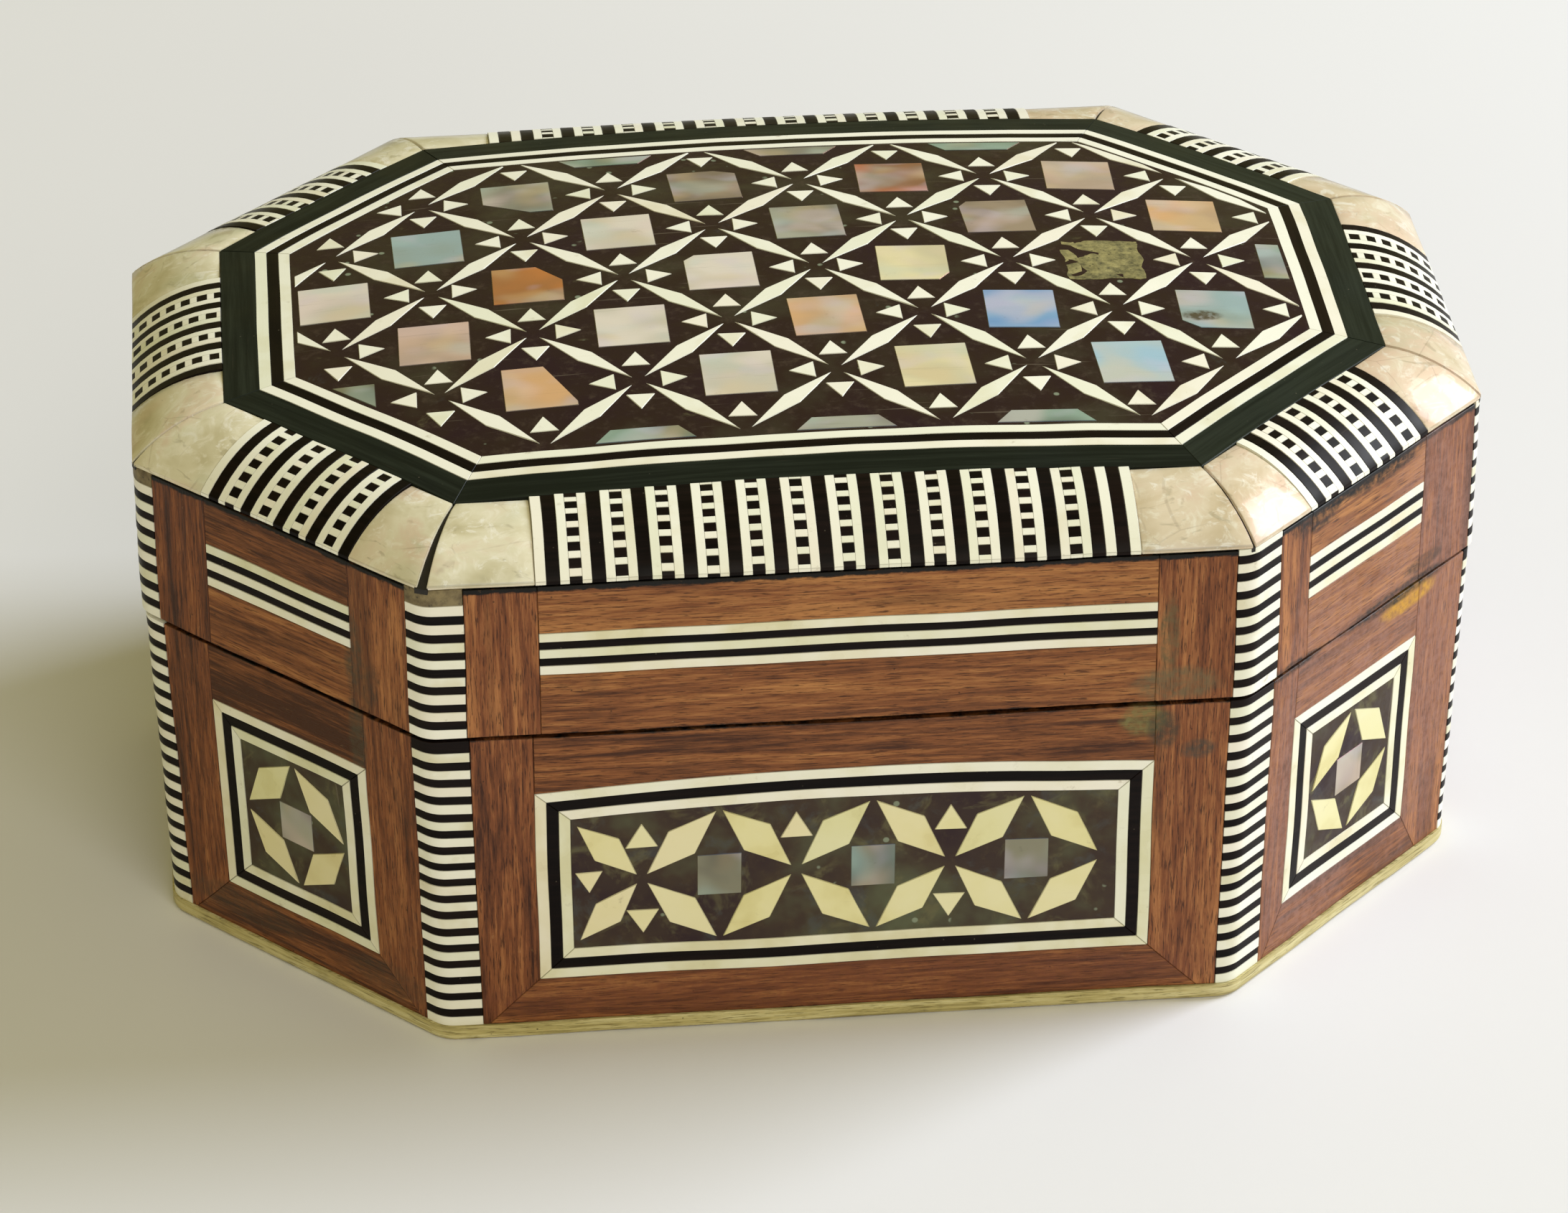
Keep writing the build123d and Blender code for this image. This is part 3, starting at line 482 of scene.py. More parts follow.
def pearl_look(name):
    """Mother-of-pearl that shifts between the two colours laid on each piece."""
    look = Look(name, 0.24, Coat_Weight=0.15, Coat_Roughness=0.1, Thin_Film_Thickness=330.0)
    light = look.node("ShaderNodeAttribute", attribute_name="shell_light").outputs["Color"]
    deep = look.node("ShaderNodeAttribute", attribute_name="shell_deep").outputs["Color"]
    swirl = look.noise(look.place, (140, 190, 140), 1.0, 0.4, 0.2)
    colour = look.mix(look.between(swirl, 0.35, 0.65), light, deep)
    glows = ((125, 0.32, "ecd2d8"), (160, 0.28, "b4d4d4"), (145, 0.26, "eed09c"), (210, 0.24, "d2c8e8"))
    for scale, strength, shade in glows:
        glow = look.noise(look.place, (scale, scale * 1.3, scale), 1.0, 0.4, 0.2)
        colour = look.mix(look.between(glow, 0.5, 0.72, 0.0, strength), colour, srgb(shade))
    growth = look.noise(look.place, (90, 2600, 90), 2.0, 0.5, 1.5)
    colour = look.mix(look.between(growth, 0.6, 0.75, 0.0, 0.16), colour, srgb("5f6257"))
    stain = look.between(look.noise(look.place, (330, 330, 330), 5.0, 0.75), 0.62, 0.78, 0.0, 0.4)
    colour = look.mix(stain, colour, srgb("5b5a45"))
    colour = look.mix(look.blob(SHELL_STAIN, (2.3, 1.1, 2.0)), colour, srgb("4b4638"))
    colour = look.mix(look.math("MULTIPLY", look.rim, 0.7), colour, srgb("2f2a22"))
    normal = look.bump(growth, 0.012 * MM, 0.5, lacquer_bump(look, 0.03 * MM))
    return look.finish(colour, normal)


def bevel_shell_look(name):
    """Cream shell of the bevel's corners: cloudy, with pink and green lights and hair cracks."""
    look = Look(name, 0.34, Coat_Weight=0.35, Coat_Roughness=0.1, Thin_Film_Thickness=330.0)
    cloud = look.noise(look.place, (85, 85, 120), 4.0, 0.6, 0.8)
    tone = look.math("MULTIPLY", look.math("SUBTRACT", look.second, 0.5), 0.16)
    colour = look.ramp(look.math("ADD", cloud, tone),
                       (0.28, srgb("b0a988")), (0.42, srgb("d3cbab")), (0.55, srgb("e8e2ca")),
                       (0.66, srgb("e4d3bd")), (0.8, srgb("cdd3ba")))
    colour = look.mix(look.math("MULTIPLY", look.tone, 0.3), colour, srgb("ddb6a2"))
    pink = look.between(look.noise(look.place, (60, 60, 60), 3.0), 0.57, 0.74, 0.0, 0.34)
    colour = look.mix(pink, colour, srgb("e2bba8"))
    milk = look.between(look.noise(look.place, (300, 300, 500), 4.0, 0.65, 1.5), 0.5, 0.7, 0.0, 0.7)
    colour = look.mix(milk, colour, srgb("f6f1e2"))
    flash = look.between(look.noise(look.place, (380, 380, 520), 5.0, 0.7, 1.2), 0.55, 0.66, 0.0, 0.6)
    colour = look.mix(flash, colour, srgb("fcf9f2"))
    green = look.between(look.noise(look.place, (90, 90, 90), 2.0), 0.55, 0.68, 0.0, 0.35)
    colour = look.mix(green, colour, srgb("b8c0a0"))
    vein = look.between(look.noise(look.place, (190, 190, 700), 3.0, 0.6, 2.0), 0.60, 0.70, 0.0, 0.35)
    colour = look.mix(vein, colour, srgb("8f8768"))
    crack = look.between(look.cells(look.place, (150, 150, 90), "DISTANCE_TO_EDGE"), 0.014, 0.004, 0.0, 0.18)
    crack = look.math("MULTIPLY", crack, look.between(cloud, 0.5, 0.58))
    colour = look.mix(crack, colour, srgb("5d4a30"))
    colour = look.mix(look.math("MULTIPLY", look.rim, 0.22), colour, srgb("574a33"))
    normal = look.bump(crack, -0.04 * MM, 0.6, lacquer_bump(look, 0.06 * MM))
    return look.finish(colour, normal)


def wood_look(name, dark, middle, light, stain_and_shade_marks=(), coat=0.05):
    """Open-pored veneer. Where a list of marks is given, it also gets these marks and a near-black band along
    the split, under the bevel's lip and at the foot: painted shade of those seams, with dirt.
    """
    look = Look(name, 0.45, Specular_IOR_Level=0.24, Coat_Weight=coat, Coat_Roughness=0.25)
    figure = look.noise(look.map, (26, 380, 1), 5.0, 0.66, 1.1)
    fibre = look.noise(look.map, (130, 2300, 1), 5.0, 0.7, 0.3)
    value = look.math("ADD", look.math("MULTIPLY", figure, 0.55), look.math("MULTIPLY", fibre, 0.45))
    value = look.math("ADD", value, look.math("MULTIPLY", look.math("SUBTRACT", look.tone, 0.5), 0.34))
    colour = look.ramp(value, (0.36, srgb(dark)), (0.49, srgb(middle)), (0.62, srgb(light)))
    pores = look.between(look.noise(look.map, (420, 6500, 1), 3.0, 0.6), 0.54, 0.64, 0.0, 0.85)
    colour = look.mix(pores, colour, srgb(dark))
    bands = look.between(look.noise(look.map, (9, 170, 1), 3.0, 0.5, 1.5), 0.55, 0.7, 0.0, 0.45)
    colour = look.mix(bands, colour, srgb(dark))
    soot = look.between(look.noise(look.place, (95, 95, 95), 5.0, 0.65), 0.56, 0.78, 0.0, 0.45)
    colour = look.mix(soot, colour, srgb("2d211a"))
    colour = look.mix(look.math("MULTIPLY", look.rim, 0.3), colour, srgb("20140e"))
    # Painted shade with dirt: a near-black band along the split, under the bevel's lip and at the foot.
    if stain_and_shade_marks:
        colour = look.mix(look.seam_darkening(), colour, srgb("080504"))
    mottle = look.noise(look.place, (900, 900, 900), 4.0, 0.7)
    pits = look.between(look.cells(look.place, (800, 800, 800)), 0.11, 0.05, 0.0, 0.7)
    colour = look.mix(look.math("MULTIPLY", pits, look.between(mottle, 0.5, 0.6)), colour, srgb("1a0f0a"))
    scuff = look.between(look.noise(look.map, (500, 1500, 1), 4.0, 0.75), 0.63, 0.75, 0.0, 0.3)
    colour = look.mix(scuff, colour, srgb("c99c6c"))
    for shade, middle_at, size, strength in stain_and_shade_marks:
        shown = look.math("MULTIPLY", look.blob(middle_at, size), look.between(mottle, 0.3, 0.6, 0.5, 1.0))
        colour = look.mix(look.math("MULTIPLY", shown, strength), colour, srgb(shade))
    normal = look.bump(pores, -0.03 * MM, 0.6, look.bump(fibre, 0.02 * MM, 0.5, lacquer_bump(look)))
    return look.finish(colour, normal, look.between(figure, 0.3, 0.7, 0.36, 0.55))


def filler_look(name, shade, light):
    look = Look(name, 0.55)
    coarse = look.noise(look.place, (380, 380, 380), 6.0, 0.7)
    lumps = look.noise(look.place, (1100, 1100, 1100), 4.0, 0.7)
    mixed = look.math("MULTIPLY", look.math("ADD", coarse, lumps), 0.5)
    colour = look.ramp(mixed, (0.38, srgb(shade)), (0.6, srgb(light)))
    speck = look.between(look.cells(look.place, (1300, 1300, 1300)), 0.2, 0.1, 0.0, 0.6)
    colour = look.mix(speck, colour, srgb("14110d"))
    return look.finish(colour, look.bump(coarse, 0.12 * MM, 0.8))


def velvet_look(name):
    look = Look(name, 0.85, Sheen_Weight=0.8, Sheen_Roughness=0.4, Sheen_Tint=srgb("c84a55"))
    nap = look.noise(look.place, (130, 130, 130), 5.0, 0.7)
    pile = look.noise(look.place, (5200, 5200, 5200), 2.0)
    colour = look.ramp(nap, (0.25, srgb("480c15")), (0.75, srgb("721823")))
    colour = look.mix(look.between(pile, 0.4, 0.7, 0.0, 0.45), colour, srgb("22040a"))
    return look.finish(colour, look.bump(pile, 0.15 * MM, 0.8, look.bump(nap, 0.2 * MM, 0.5)))


def brass_look(name):
    look = Look(name, 0.35, Metallic=1.0)
    tarnish = look.noise(look.place, (420, 420, 420), 5.0, 0.7)
    colour = look.ramp(tarnish, (0.35, srgb("6e5423")), (0.5, srgb("a98840")), (0.7, srgb("d8bd72")))
    scratch = look.noise(look.place, (3800, 300, 300), 2.0)
    normal = look.bump(scratch, 0.01 * MM, 0.4)
    return look.finish(colour, normal, look.between(tarnish, 0.35, 0.65, 0.55, 0.26))


SHELL_STAIN = (41.7, -11.6, 60.8)   # dark spot on one of the lid's squares, in millimetres
FRONT_Y = -HALF_Y / MM
# Stains of the veneers, and painted shade on the front right: black along the split and under the bevel's
# lip. Colour, middle and size in millimetres, strength.
STAINS_AND_PAINTED_SHADE = [
    ("6b5c3e", (33.3, FRONT_Y, 45.0), (1.1, 4, 4.8), 0.9),
    ("6f6247", (34.0, FRONT_Y, 39.6), (4.8, 4, 2.1), 0.85),
    ("7d7547", (31.0, FRONT_Y, 35.2), (2.6, 4, 2.0), 0.95),
    ("3d3a30", (33.0, FRONT_Y, 34.0), (1.8, 4, 2.4), 0.85),
    ("46423a", (36.6, FRONT_Y, 31.4), (2.0, 4, 1.3), 0.85),
    ("4f4636", (-48.9, -42.9, 43.5), (1.5, 1.5, 6.5), 0.85),
    ("3f382c", (-47.0, -44.0, 41.0), (1.4, 1.4, 3.0), 0.5),
    ("4f4636", (-48.7, -42.3, 33.5), (1.4, 1.4, 5.5), 0.85),
    ("463b2c", (-61.5, -29.0, 5.0), (10.0, 10.0, 2.0), 0.5),
    ("463b2c", (-47.0, -43.0, 4.6), (6.0, 6.0, 2.2), 0.5),
    ("74402f", (0.0, FRONT_Y, 4.5), (45.0, 6.0, 3.4), 0.5),
    ("a87c70", (52.0, -40.0, 20.0), (11.0, 11.0, 30.0), 0.5),
    ("a87c70", (64.0, -28.0, 30.0), (11.0, 11.0, 30.0), 0.5),
    ("d09a2c", (62.0, -29.0, 35.7), (5.0, 5.0, 1.5), 1.0),
    # Painted shade: black along the split on the front right.
    ("0b0705", (60.0, -31.0, 37.2), (10.5, 10.5, 1.3), 1.0),
    ("0b0705", (47.0, -44.0, 37.2), (7.0, 7.0, 0.9), 1.0),
    ("3a2a1e", (63.5, -27.5, 39.4), (3.6, 3.6, 1.0), 0.8),
    # Painted shade under the bevel's lip on the front right, with dirt.
    ("0d0907", (49.5, -41.5, 54.1), (4.8, 4.8, 2.3), 1.0),
    ("0d0907", (57.5, -33.5, 54.3), (8.0, 8.0, 1.9), 1.0),
    ("070504", (54.0, -37.0, 54.5), (11.0, 11.0, 1.2), 1.0),
]

BONE = bone_look("bone", "f1edd4", "e4ddb8", 0.4)
TOP_BONE = bone_look("top_bone", "faf9ee", "f0ecd8", 0.35)
POST_BONE = bone_look("post_bone", "f6f4e6", "e6e0c4", 0.4)
PANEL_BONE = bone_look("panel_bone", "ede5ae", "e0d596", 0.4, "f2ebc0")
EBONY = ebony_look("ebony", "0b0606", "1c1210")
BORDER = ebony_look("border_ebony", "161b17", "2b312a")
LID_GROUND = ground_look("lid_ground", "2b1820", "2f201c", "3d372b", 0.01)
PANEL_GROUND = ground_look("panel_ground", "34252b", "45382f", "5c5f49", 0.13)
PEARL = pearl_look("mother_of_pearl")
SHELL = bevel_shell_look("bevel_shell")
RAIL = wood_look("rail_veneer", "46230f", "8b542f", "b97f4c", STAINS_AND_PAINTED_SHADE)
STILE = wood_look("stile_veneer", "3a1b0d", "824b2b", "b4784a", STAINS_AND_PAINTED_SHADE)
BOARD = wood_look("board_wood", "847747", "c3b57c", "e0d6a6", (), 0.03)
CARCASS = wood_look("carcass_wood", "3b2416", "62432b", "86633f", (), 0.03)
MITRE = filler_look("mitre_filler", "080605", "1c1712")
PUTTY = filler_look("shell_putty", "4c4932", "a59b68")
POST_FILLER = filler_look("post_putty", "594a31", "8b7b57")
VELVET = velvet_look("lining_velvet")
BRASS = brass_look("old_brass")
# Tone of the veneers on each side, from the front round to the front left: partly the wood's own tone, partly
# painted light, lighter towards the window on the right and darker on the left. The base's rails are painted
# darker by 0.17.
SIDE_TONES_WITH_PAINTED_LIGHT = [0.54, 0.6, 0.58, 0.5, 0.45, 0.45, 0.42, 0.38]
BASE_RAIL_TONES_WITH_PAINTED_SHADE = [tone - 0.17 for tone in SIDE_TONES_WITH_PAINTED_LIGHT]


# ================= pieces =================
def worked(name, body, slot, material, nodes, edge, spacing=0.0, smooth=False, upright=False, wander=True,
           tones=None):
    """The CAD nodes with softened edges, bent and strayed as hand work is."""
    piece = Piece(name, body, slot, material, nodes, smooth)
    for node in nodes:
        for bm in cad_solids(node):
            k = side_of(centre(bm))
            if spacing:
                dice(dice(bm, along(k), spacing), Vector((0, 0, 1)), spacing)
            if wander:
                stray(bm, body)
                for vert in bm.verts:
                    vert.co.z = max(vert.co.z, 0)
            rims = soften(bm, edge)
            # On the veneers the side's tone is partly painted light: lighter towards the window, darker on
            # the left.
            tone = None if tones is None else tones[k] + rng.uniform(-0.14, 0.14)
            piece.add(bm, rims, tone, upright)
    return piece.build()


def layered_posts(body):
    """Corner posts split into their bone and ebony layers."""
    node = f"{body}_corner_posts"
    bones = Piece(f"{body}_post_bone_layers", body, "post_laminate", POST_BONE, [node], True)
    ebonies = Piece(f"{body}_post_ebony_layers", body, "ebony", EBONY, [node], True)
    putty = Piece(f"{body}_post_putty", body, "dark_ground", POST_FILLER, [], True)
    for bm in cad_solids(node):
        low = min(vert.co.z for vert in bm.verts)
        high = max(vert.co.z for vert in bm.verts)
        middle = centre(bm)
        tilt = Vector((rng.uniform(-0.02, 0.02), rng.uniform(-0.02, 0.02), 1)).normalized()
        at = Vector((middle.x, middle.y, low))
        if body == "lid" and nearest_corner(middle) in POST_PUTTY:
            high -= POST_PUTTY[nearest_corner(middle)]
            cap = stray(cut(bm.copy(), Vector((0, 0, high)), Vector((0, 0, -1))), body)
            putty.add(cap, soften(cap, 0.12 * MM, 2))
            cut(bm, Vector((0, 0, high)), Vector((0, 0, 1)))
        edges = [-2 * MM]
        while edges[-1] < high - low - 0.5 * MM:
            last = 0 if len(edges) == 1 else edges[-1]
            wide = STRIPE_BONE if len(edges) % 2 else STRIPE_PAIR - STRIPE_BONE
            edges.append(last + wide * rng.uniform(*UNEVEN))
        edges[-1] = high - low + 2 * MM
        for i, slab in enumerate(sliced(bm, at, tilt, edges)):
            if slab is None:
                continue
            push = Vector((middle.x, middle.y, 0)).normalized() * rng.uniform(-0.03, 0.03) * MM
            for vert in slab.verts:
                vert.co = strayed(vert.co, body) + push
            target = ebonies if i % 2 else bones
            target.add(slab, soften(slab, 0.045 * MM))
        bm.free()
    bones.build()
    ebonies.build()
    if putty.points:
        putty.build()


def ladders():
    """Bevel ladders split into bone rails and a column of ebony squares and bone rungs."""
    node = "lid_bevel_ladders"
    bones = Piece("lid_ladder_bone", "lid", "ladder_inlay", TOP_BONE, [node], True)
    squares = Piece("lid_ladder_squares", "lid", "ebony", EBONY, [node], True)
    for count, bm in enumerate(cad_solids(node)):
        middle = centre(bm)
        k = side_of(middle)
        a, n = along(k), outward(k)
        reach = [vert.co.dot(a) for vert in bm.verts]
        low, high = min(reach), max(reach)
        origin = Vector((0, 0, 0))
        left, column, right = sliced(bm, origin, a, [low - MM, low + RAIL_WIDE, high - RAIL_WIDE, high + MM])
        bm.free()
        for rail in (left, right):
            stray(rail, "lid")
            bones.add(rail, soften(rail, 0.04 * MM))
        slope = (n * LADDER_OUT - Vector((0, 0, LADDER_DOWN))).normalized()
        tops = [vert.co.dot(slope) for vert in column.verts]
        start, end = min(tops), max(tops)
        edge = start + (0.35 if count % 2 else -0.45) * MM * rng.uniform(0.8, 1.2)
        edges = [start - MM, edge]
        while edges[-1] < end:
            wide = RUNG_SQUARE if len(edges) % 2 == 0 else RUNG_PITCH - RUNG_SQUARE
            edges.append(edges[-1] + wide * rng.uniform(*UNEVEN))
        edges[-1] = end + 2 * MM
        for i, slab in enumerate(sliced(column, origin, slope, edges)):
            if slab is None:
                continue
            stray(slab, "lid")
            target = squares if i % 2 else bones
            target.add(slab, soften(slab, 0.04 * MM))
        column.free()
    bones.build()
    squares.build()


def bevel_height(t, at):
    """Height of the bevel beside the point at on the border, t of its width outwards."""
    high, foot = crown(at.x, at.y), BEVEL_FOOT + BEVEL_LIP
    return high + (foot - high) * t + 4 * BEVEL_BULGE * t * (1 - t)


def bevel_shells():
    """Shell corners of the bevel, chipped open along the mitres, with dark filler between them."""
    piece = Piece("lid_bevel_shells", "lid", "bevel_shell", SHELL, ["lid_bevel_pearl"], True)
    for bm in cad_solids("lid_bevel_pearl"):
        middle = centre(bm)
        k = side_of(middle)
        a = along(k)
        way = 1 if (middle - side_middle(k, 0)).dot(a) > 0 else -1
        corner = k if way > 0 else k - 1
        inner, outer = octagon(BEVEL_WIDE)[corner].to_3d(), octagon(0)[corner].to_3d()
        gap = MITRE_GAPS.get(corner % 8, MITRE_GAP)
        outer -= a * way * gap * rng.uniform(0.4, 0.6)
        inner -= a * way * gap * rng.uniform(0.06, 0.14)
        edge = (outer - inner).normalized()
        facing = Vector((edge.y, -edge.x, 0))
        if facing.dot(a * way) < 0:
            facing = -facing
        cut(bm, inner, facing)
        dice(bm, a, 2.5 * MM)
        stray(bm, "lid")
        piece.add(bm, soften(bm, 0.14 * MM, 2), fade(middle.x, -10 * MM, 45 * MM))
    piece.build()
    fill = Piece("lid_mitre_filler", "lid", "dark_ground", MITRE)
    for k in range(8):
        inner, outer = octagon(BEVEL_WIDE)[k], octagon(0.15 * MM)[k]
        across = Vector((inner.y - outer.y, outer.x - inner.x, 0)).normalized()
        rings = []
        for i in range(9):
            t = i / 8
            at = inner.lerp(outer, t)
            top = bevel_height(t, inner) - (0.22 + 0.1 * rng.random()) * MM
            half = 0.12 * MM + (0.3 + 0.7 * t) * MITRE_GAPS.get(k, MITRE_GAP) * 0.6
            rings.append([at.to_3d() + across * half * s + Vector((0, 0, z))
                          for s, z in ((-1, top - MITRE_FILL), (-1, top), (1, top), (1, top - MITRE_FILL))])
        bm = bmesh.new()
        loops = [[bm.verts.new(point) for point in ring] for ring in rings]
        for one, two in zip(loops, loops[1:]):
            for i in range(4):
                bm.faces.new([one[i], one[(i + 1) % 4], two[(i + 1) % 4], two[i]])
        bm.faces.new(loops[0][::-1])
        bm.faces.new(loops[-1])
        bmesh.ops.recalc_face_normals(bm, faces=bm.faces)
        fill.add(bm)
    fill.build()


# Tints of mother-of-pearl: light colour, deep colour.
SHELL_TINTS = {
    "olive": ("8a8c74", "646854"),
    "sea": ("8ea89c", "66786e"),
    "sage": ("a8aca0", "80807a"),
    "taupe": ("a09080", "80746a"),
    "rust": ("b4684a", "8e6650"),
    "amber": ("c47e48", "a87248"),
    "honey": ("dcb084", "c0a488"),
    "blush": ("d0b4a4", "b6a294"),
    "cream": ("eae0b8", "d4ccac"),
    "milk": ("e6ded6", "cecabe"),
    "aqua": ("9cb6be", "96a8a6"),
    "sky": ("a4c8e0", "b4c8d0"),
    "blue": ("6c9ed4", "88b0d8"),
}
# Tint of each shell square of the lid, found by twice its step from the middle and its row.
SQUARES = {
    (-3, 2): "sage", (-1, 2): "taupe", (1, 2): "rust", (3, 2): "blush",
    (-4, 1): "aqua", (-2, 1): "milk", (0, 1): "sage", (2, 1): "taupe", (4, 1): "honey",
    (-5, 0): "milk", (-3, 0): "amber", (-1, 0): "milk", (1, 0): "cream", (5, 0): "sea",
    (-4, -1): "blush", (-2, -1): "milk", (0, -1): "honey", (2, -1): "blue", (4, -1): "aqua",
    (-5, -2): "olive", (-3, -2): "honey", (-1, -2): "milk", (1, -2): "cream", (3, -2): "sky",
}
BROKEN = {(3, 0)}
# Corners missing from squares: direction of the loss and how far from the middle it starts, in millimetres.
CHIPS = {(-3, 0): (1, 0.8, 3.3), (-1, 0): (-1, 1, 4.6), (1, 0): (1, -0.8, 4.4), (-3, -2): (1, 0.45, 2.2),
         (4, -1): (-0.8, -1, 4.3), (-3, 2): (-0.6, -1, 3.0), (-1, 2): (0.4, 1, 4.2), (2, 1): (-1, 0.7, 4.6)}
LATTICE_X, LATTICE_Y = 20.35 * MM, 10.7 * MM
LATTICE_SHIFT = Vector((2.5 * MM, 0.6 * MM))


def shell_tint(name):
    light, deep = SHELL_TINTS[name]
    return srgb(light), srgb(deep)


def lattice_index(point):
    """Twice the step along X and the row of the lattice cell at a point."""
    at = point.to_2d() - LATTICE_SHIFT
    return round(at.x / LATTICE_X * 2), round(at.y / LATTICE_Y)


def field_shell():
    """Shell squares of the lid, each with its own colours and chips."""
    piece = Piece("lid_shell_squares", "lid", "mother_of_pearl", PEARL, ["lid_field_pearl"])
    putty = Piece("lid_lost_square_filler", "lid", "dark_ground", PUTTY, ["lid_field_pearl"])
    for bm in cad_solids("lid_field_pearl"):
        index = lattice_index(centre(bm))
        if index in CHIPS:
            x, y, far = CHIPS[index]
            facing = Vector((x, y, 0)).normalized()
            cut(bm, centre(bm) + facing * far * MM, facing)
        for vert in bm.verts:
            vert.co.z += PROUD
        if index in BROKEN:
            dice(dice(bm, Vector((1, 0, 0)), 0.8 * MM), Vector((0, 1, 0)), 0.8 * MM)
            middle = centre(bm)
            for vert in bm.verts:
                ragged = drift(vert.co * 700)
                spread = (vert.co - middle).to_2d().to_3d() * 0.08
                vert.co += Vector((ragged.x, ragged.y, 0)) * 0.5 * MM + spread
                vert.co.z += ragged.z * 0.08 * MM - 0.02 * MM
            putty.add(bm)
            continue
        piece.add(bm, soften(bm, 0.09 * MM), shell=shell_tint(SQUARES.get(index, "sage")))
    piece.build()
    putty.build()


def grey_shell(name, body, node, tints):
    """Shell pieces whose tints repeat in order."""
    piece = Piece(name, body, "mother_of_pearl", PEARL, [node])
    for i, bm in enumerate(cad_solids(node)):
        for vert in bm.verts:
            moved = strayed(vert.co, body)
            vert.co = Vector((moved.x, moved.y, vert.co.z + PROUD)) if body == "lid" else moved
        piece.add(bm, soften(bm, 0.08 * MM), shell=shell_tint(tints[i % len(tints)]))
    piece.build()


def raised(name, body, node, material, edge):
    """Small inlay pieces that stand a hair proud of their ground."""
    piece = Piece(name, body, "bone", material, [node])
    for bm in cad_solids(node):
        k = side_of(centre(bm))
        way = Vector((0, 0, 1)) if body == "lid" else outward(k)
        lean = Vector((rng.uniform(-1, 1), rng.uniform(-1, 1), rng.uniform(-1, 1))) * 0.004
        middle = centre(bm)
        for vert in bm.verts:
            if body == "base":
                vert.co = strayed(vert.co, body)
            vert.co += way * (PROUD + lean.dot(vert.co - middle))
        piece.add(bm, soften(bm, edge))
    piece.build()


def poured(p, coarse, fine):
    """Unevenness of poured mastic at a point, in millimetres."""
    return noise.noise(p * 420) * coarse + noise.noise(p * 1100) * fine


def lid_ground():
    """Domed sheet of mastic that the lid's inlay is set in, uneven as poured."""
    bm = bmesh.new()
    reach_x, reach_y = HALF_X - FIELD_INSET + 4 * MM, HALF_Y - FIELD_INSET + 4 * MM
    bmesh.ops.create_grid(bm, x_segments=110, y_segments=72, size=1.0)
    for vert in bm.verts:
        vert.co = Vector((vert.co.x * reach_x, vert.co.y * reach_y, 0))
    corners = octagon(FIELD_INSET)
    for k in range(8):
        geometry = bm.verts[:] + bm.edges[:] + bm.faces[:]
        bmesh.ops.bisect_plane(bm, geom=geometry, dist=1e-7, plane_co=corners[k].to_3d(), plane_no=outward(k),
                               clear_outer=True)
    for vert in bm.verts:
        vert.co.z = crown(vert.co.x, vert.co.y) + (poured(vert.co, 0.018, 0.012) - 0.035) * MM
    thicken(bm, Vector((0, 0, -SKIN * 0.9)))
    piece = Piece("lid_mastic_ground", "lid", "dark_ground", LID_GROUND, ["lid_field_ground"], True)
    piece.add(bm)
    piece.build()


def thicken(bm, shift):
    """Give an open sheet a back and edges."""
    made = bmesh.ops.extrude_face_region(bm, geom=bm.faces[:])["geom"]
    for vert in [item for item in made if isinstance(item, bmesh.types.BMVert)]:
        vert.co += shift
    bmesh.ops.recalc_face_normals(bm, faces=bm.faces)


def panel_grounds():
    """Mastic of the eight base panels."""
    piece = Piece("base_mastic_ground", "base", "dark_ground", PANEL_GROUND, ["base_panel_ground"], True)
    for solid in cad_solids("base_panel_ground"):
        k = side_of(centre(solid))
        a, n = along(k), outward(k)
        up = (Vector((0, 0, 1)) * SPLIT + n * (BASE_INSET_FOOT - BASE_INSET_TOP)).normalized()
        foot = side_middle(k, BASE_INSET_FOOT)
        face = a.cross(up)
        us = [(vert.co - foot).dot(a) for vert in solid.verts]
        vs = [(vert.co - foot).dot(up) for vert in solid.verts]
        solid.free()
        u0, u1, v0, v1 = min(us), max(us), min(vs), max(vs)
        bm = bmesh.new()
        bmesh.ops.create_grid(bm, x_segments=round((u1 - u0) / (0.8 * MM)), y_segments=20, size=1.0)
        for vert in bm.verts:
            u = (u0 + u1) / 2 + vert.co.x * (u1 - u0) / 2
            v = (v0 + v1) / 2 + vert.co.y * (v1 - v0) / 2
            at = foot + a * u + up * v
            vert.co = strayed(at, "base") + face * (poured(at, 0.02, 0.014) - 0.04) * MM
        thicken(bm, -face * SKIN * 0.9)
        piece.add(bm)
    piece.build()


def carcass(body):
    walls = [f"{body}_wall_{side}" for side in SIDES]
    worked(f"{body}_carcass", body, "carcass_wood", CARCASS, walls, 0.25 * MM, wander=False)


def veneers(body, rail_tones):
    """Horizontal and upright veneers of a body's sides."""
    worked(f"{body}_rails", body, "rail_veneer", RAIL, [f"{body}_veneer_rails"], VENEER_EDGE, BEND,
           tones=rail_tones)
    worked(f"{body}_stiles", body, "stile_veneer", STILE, [f"{body}_veneer_stiles"], VENEER_EDGE, BEND,
           upright=True, tones=SIDE_TONES_WITH_PAINTED_LIGHT)


def line_pair(name, body, bone, bone_node, ebony_node, spacing=BEND, smooth=False):
    """Bone lines and the ebony lines beside them."""
    worked(f"{name}_bone", body, "bone", bone, [bone_node], LINE_EDGE, spacing, smooth)
    worked(f"{name}_ebony", body, "ebony", EBONY, [ebony_node], LINE_EDGE, spacing, smooth)


def velvet(name, body, node):
    worked(name, body, "lining_velvet", VELVET, [node], VELVET_EDGE, wander=False)


def brass(name, body, nodes, edge):
    worked(name, body, "brass", BRASS, nodes, edge, smooth=True, wander=False)


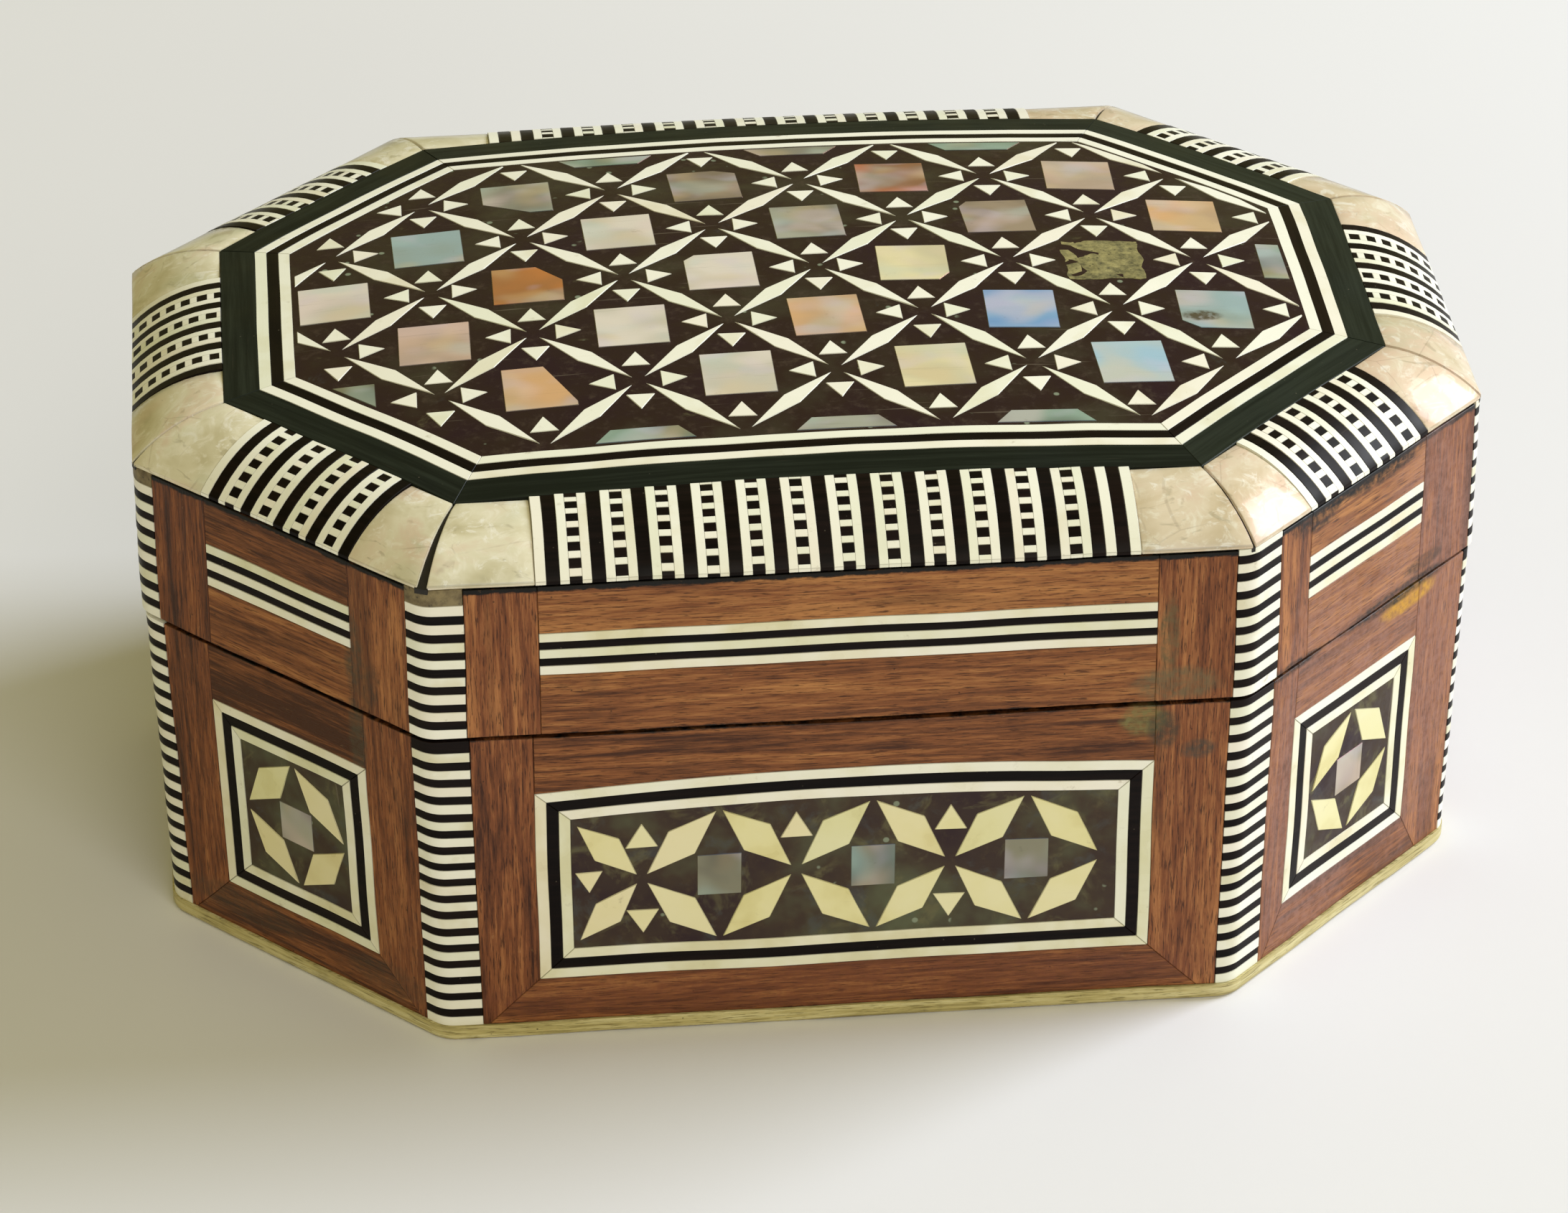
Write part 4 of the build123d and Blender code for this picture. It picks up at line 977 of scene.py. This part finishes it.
def build_base():
    carcass("base")
    worked("base_bottom_board", "base", "board_wood", BOARD, ["base_board"], LINE_EDGE, 3 * MM, True)
    veneers("base", BASE_RAIL_TONES_WITH_PAINTED_SHADE)
    line_pair("base_frame", "base", BONE, "base_panel_frame_bone", "base_panel_frame_ebony")
    layered_posts("base")
    panel_grounds()
    raised("base_rhombi", "base", "base_panel_rhombi", PANEL_BONE, 0.08 * MM)
    raised("base_triangles", "base", "base_panel_triangles", PANEL_BONE, 0.08 * MM)
    grey_shell("base_shell_squares", "base", "base_panel_pearl", ["olive", "sea", "olive", "sage"])
    velvet("base_velvet_floor", "base", "base_floor_lining")
    velvet("base_velvet_walls", "base", "base_wall_lining")
    brass("hinge_leaves_on_base", "base", ["hinge_base_leaf_left", "hinge_base_leaf_right"], 0.08 * MM)
    brass("hinge_pins", "base", ["hinge_pin_left", "hinge_pin_right"], 0.1 * MM)
    brass("hinge_nails_in_base", "base", ["hinge_nails_base"], 0.05 * MM)


def build_lid():
    carcass("lid")
    worked("lid_board", "lid", "carcass_wood", CARCASS, ["lid_top_board"], LINE_EDGE, wander=False)
    veneers("lid", SIDE_TONES_WITH_PAINTED_LIGHT)
    line_pair("lid_side", "lid", BONE, "lid_side_lines_bone", "lid_side_lines_ebony")
    layered_posts("lid")
    bevel_shells()
    ladders()
    line_pair("lid_bevel", "lid", TOP_BONE, "lid_bevel_bone_lines", "lid_bevel_ebony_lines", 0.0, True)
    worked("lid_border", "lid", "ebony", BORDER, ["lid_border_ebony"], 0.08 * MM, BEND, True)
    line_pair("lid_ring", "lid", TOP_BONE, "lid_top_lines_bone", "lid_top_lines_ebony", smooth=True)
    lid_ground()
    raised("lid_slivers", "lid", "lid_field_slivers", TOP_BONE, 0.09 * MM)
    raised("lid_triangles", "lid", "lid_field_triangles", TOP_BONE, 0.09 * MM)
    field_shell()
    grey_shell("lid_edge_shell", "lid", "lid_edge_pearl", ["sea", "sage", "sea"])
    velvet("lid_velvet_ceiling", "lid", "lid_top_lining")
    velvet("lid_velvet_walls", "lid", "lid_wall_lining")
    brass("hinge_leaves_on_lid", "lid", ["hinge_lid_leaf_left", "hinge_lid_leaf_right"], 0.08 * MM)
    brass("hinge_nails_in_lid", "lid", ["hinge_nails_lid"], 0.05 * MM)


# ================= studio =================
CAMERA_AT = Vector((-0.05064, -0.56119, 0.35749))
CAMERA_TURN, CAMERA_DOWN, CAMERA_ROLL = math.radians(5.033), math.radians(30.812), math.radians(-0.381)
CAMERA_LENS = 138.46


def build_floor():
    mesh = bpy.data.meshes.new("studio_floor")
    mesh.from_pydata([(-3, -3, 0), (3, -3, 0), (3, 3, 0), (-3, 3, 0)], [], [(0, 1, 2, 3)])
    floor = bpy.data.objects.new("studio_floor", mesh)
    bpy.context.scene.collection.objects.link(floor)
    look = Look("studio_floor", 0.6)
    cloud = look.noise(look.place, (3, 3, 3), 3.0)
    mesh.materials.append(look.finish(look.ramp(cloud, (0.3, srgb("ebeaf5")), (0.7, srgb("f0f0fa")))))


def add_light(name, at, target, size, power, colour):
    data = bpy.data.lights.new(name, "AREA")
    data.shape, data.size, data.size_y = "RECTANGLE", size[0], size[1]
    data.energy, data.color = power, colour
    made = bpy.data.objects.new(name, data)
    made.location = at
    made.rotation_euler = (Vector(target) - Vector(at)).to_track_quat("-Z", "Y").to_euler()
    bpy.context.scene.collection.objects.link(made)


def build_studio():
    build_floor()
    world = bpy.data.worlds.new("studio")
    world.use_nodes = True
    background = world.node_tree.nodes["Background"]
    background.inputs["Color"].default_value = (1.0, 0.9, 0.34, 1)
    background.inputs["Strength"].default_value = 0.32
    bpy.context.scene.world = world
    middle = (0, 0, 0.04)
    add_light("window", (1.05, 0.25, 0.75), middle, (0.6, 0.7), 18.2, (0.86, 0.92, 1.0))
    add_light("room", (0.25, -1.2, 0.9), middle, (1.0, 1.0), 7.8, (0.98, 0.95, 0.89))
    bpy.context.scene.view_settings.view_transform = "Standard"


def build_camera():
    data = bpy.data.cameras.new("camera")
    data.sensor_width, data.lens, data.clip_start = 36, CAMERA_LENS, 0.01
    made = bpy.data.objects.new("camera", data)
    level = math.cos(CAMERA_DOWN)
    ahead = Vector((math.sin(CAMERA_TURN) * level, math.cos(CAMERA_TURN) * level, -math.sin(CAMERA_DOWN)))
    right = Vector((math.cos(CAMERA_TURN), -math.sin(CAMERA_TURN), 0))
    up = right.cross(ahead)
    turned_right = right * math.cos(CAMERA_ROLL) + up * math.sin(CAMERA_ROLL)
    turned_up = up * math.cos(CAMERA_ROLL) - right * math.sin(CAMERA_ROLL)
    turned = Matrix((turned_right, turned_up, -ahead)).transposed().to_4x4()
    made.matrix_world = Matrix.Translation(CAMERA_AT) @ turned
    bpy.context.scene.collection.objects.link(made)
    bpy.context.scene.camera = made


build_base()
build_lid()
build_studio()
build_camera()
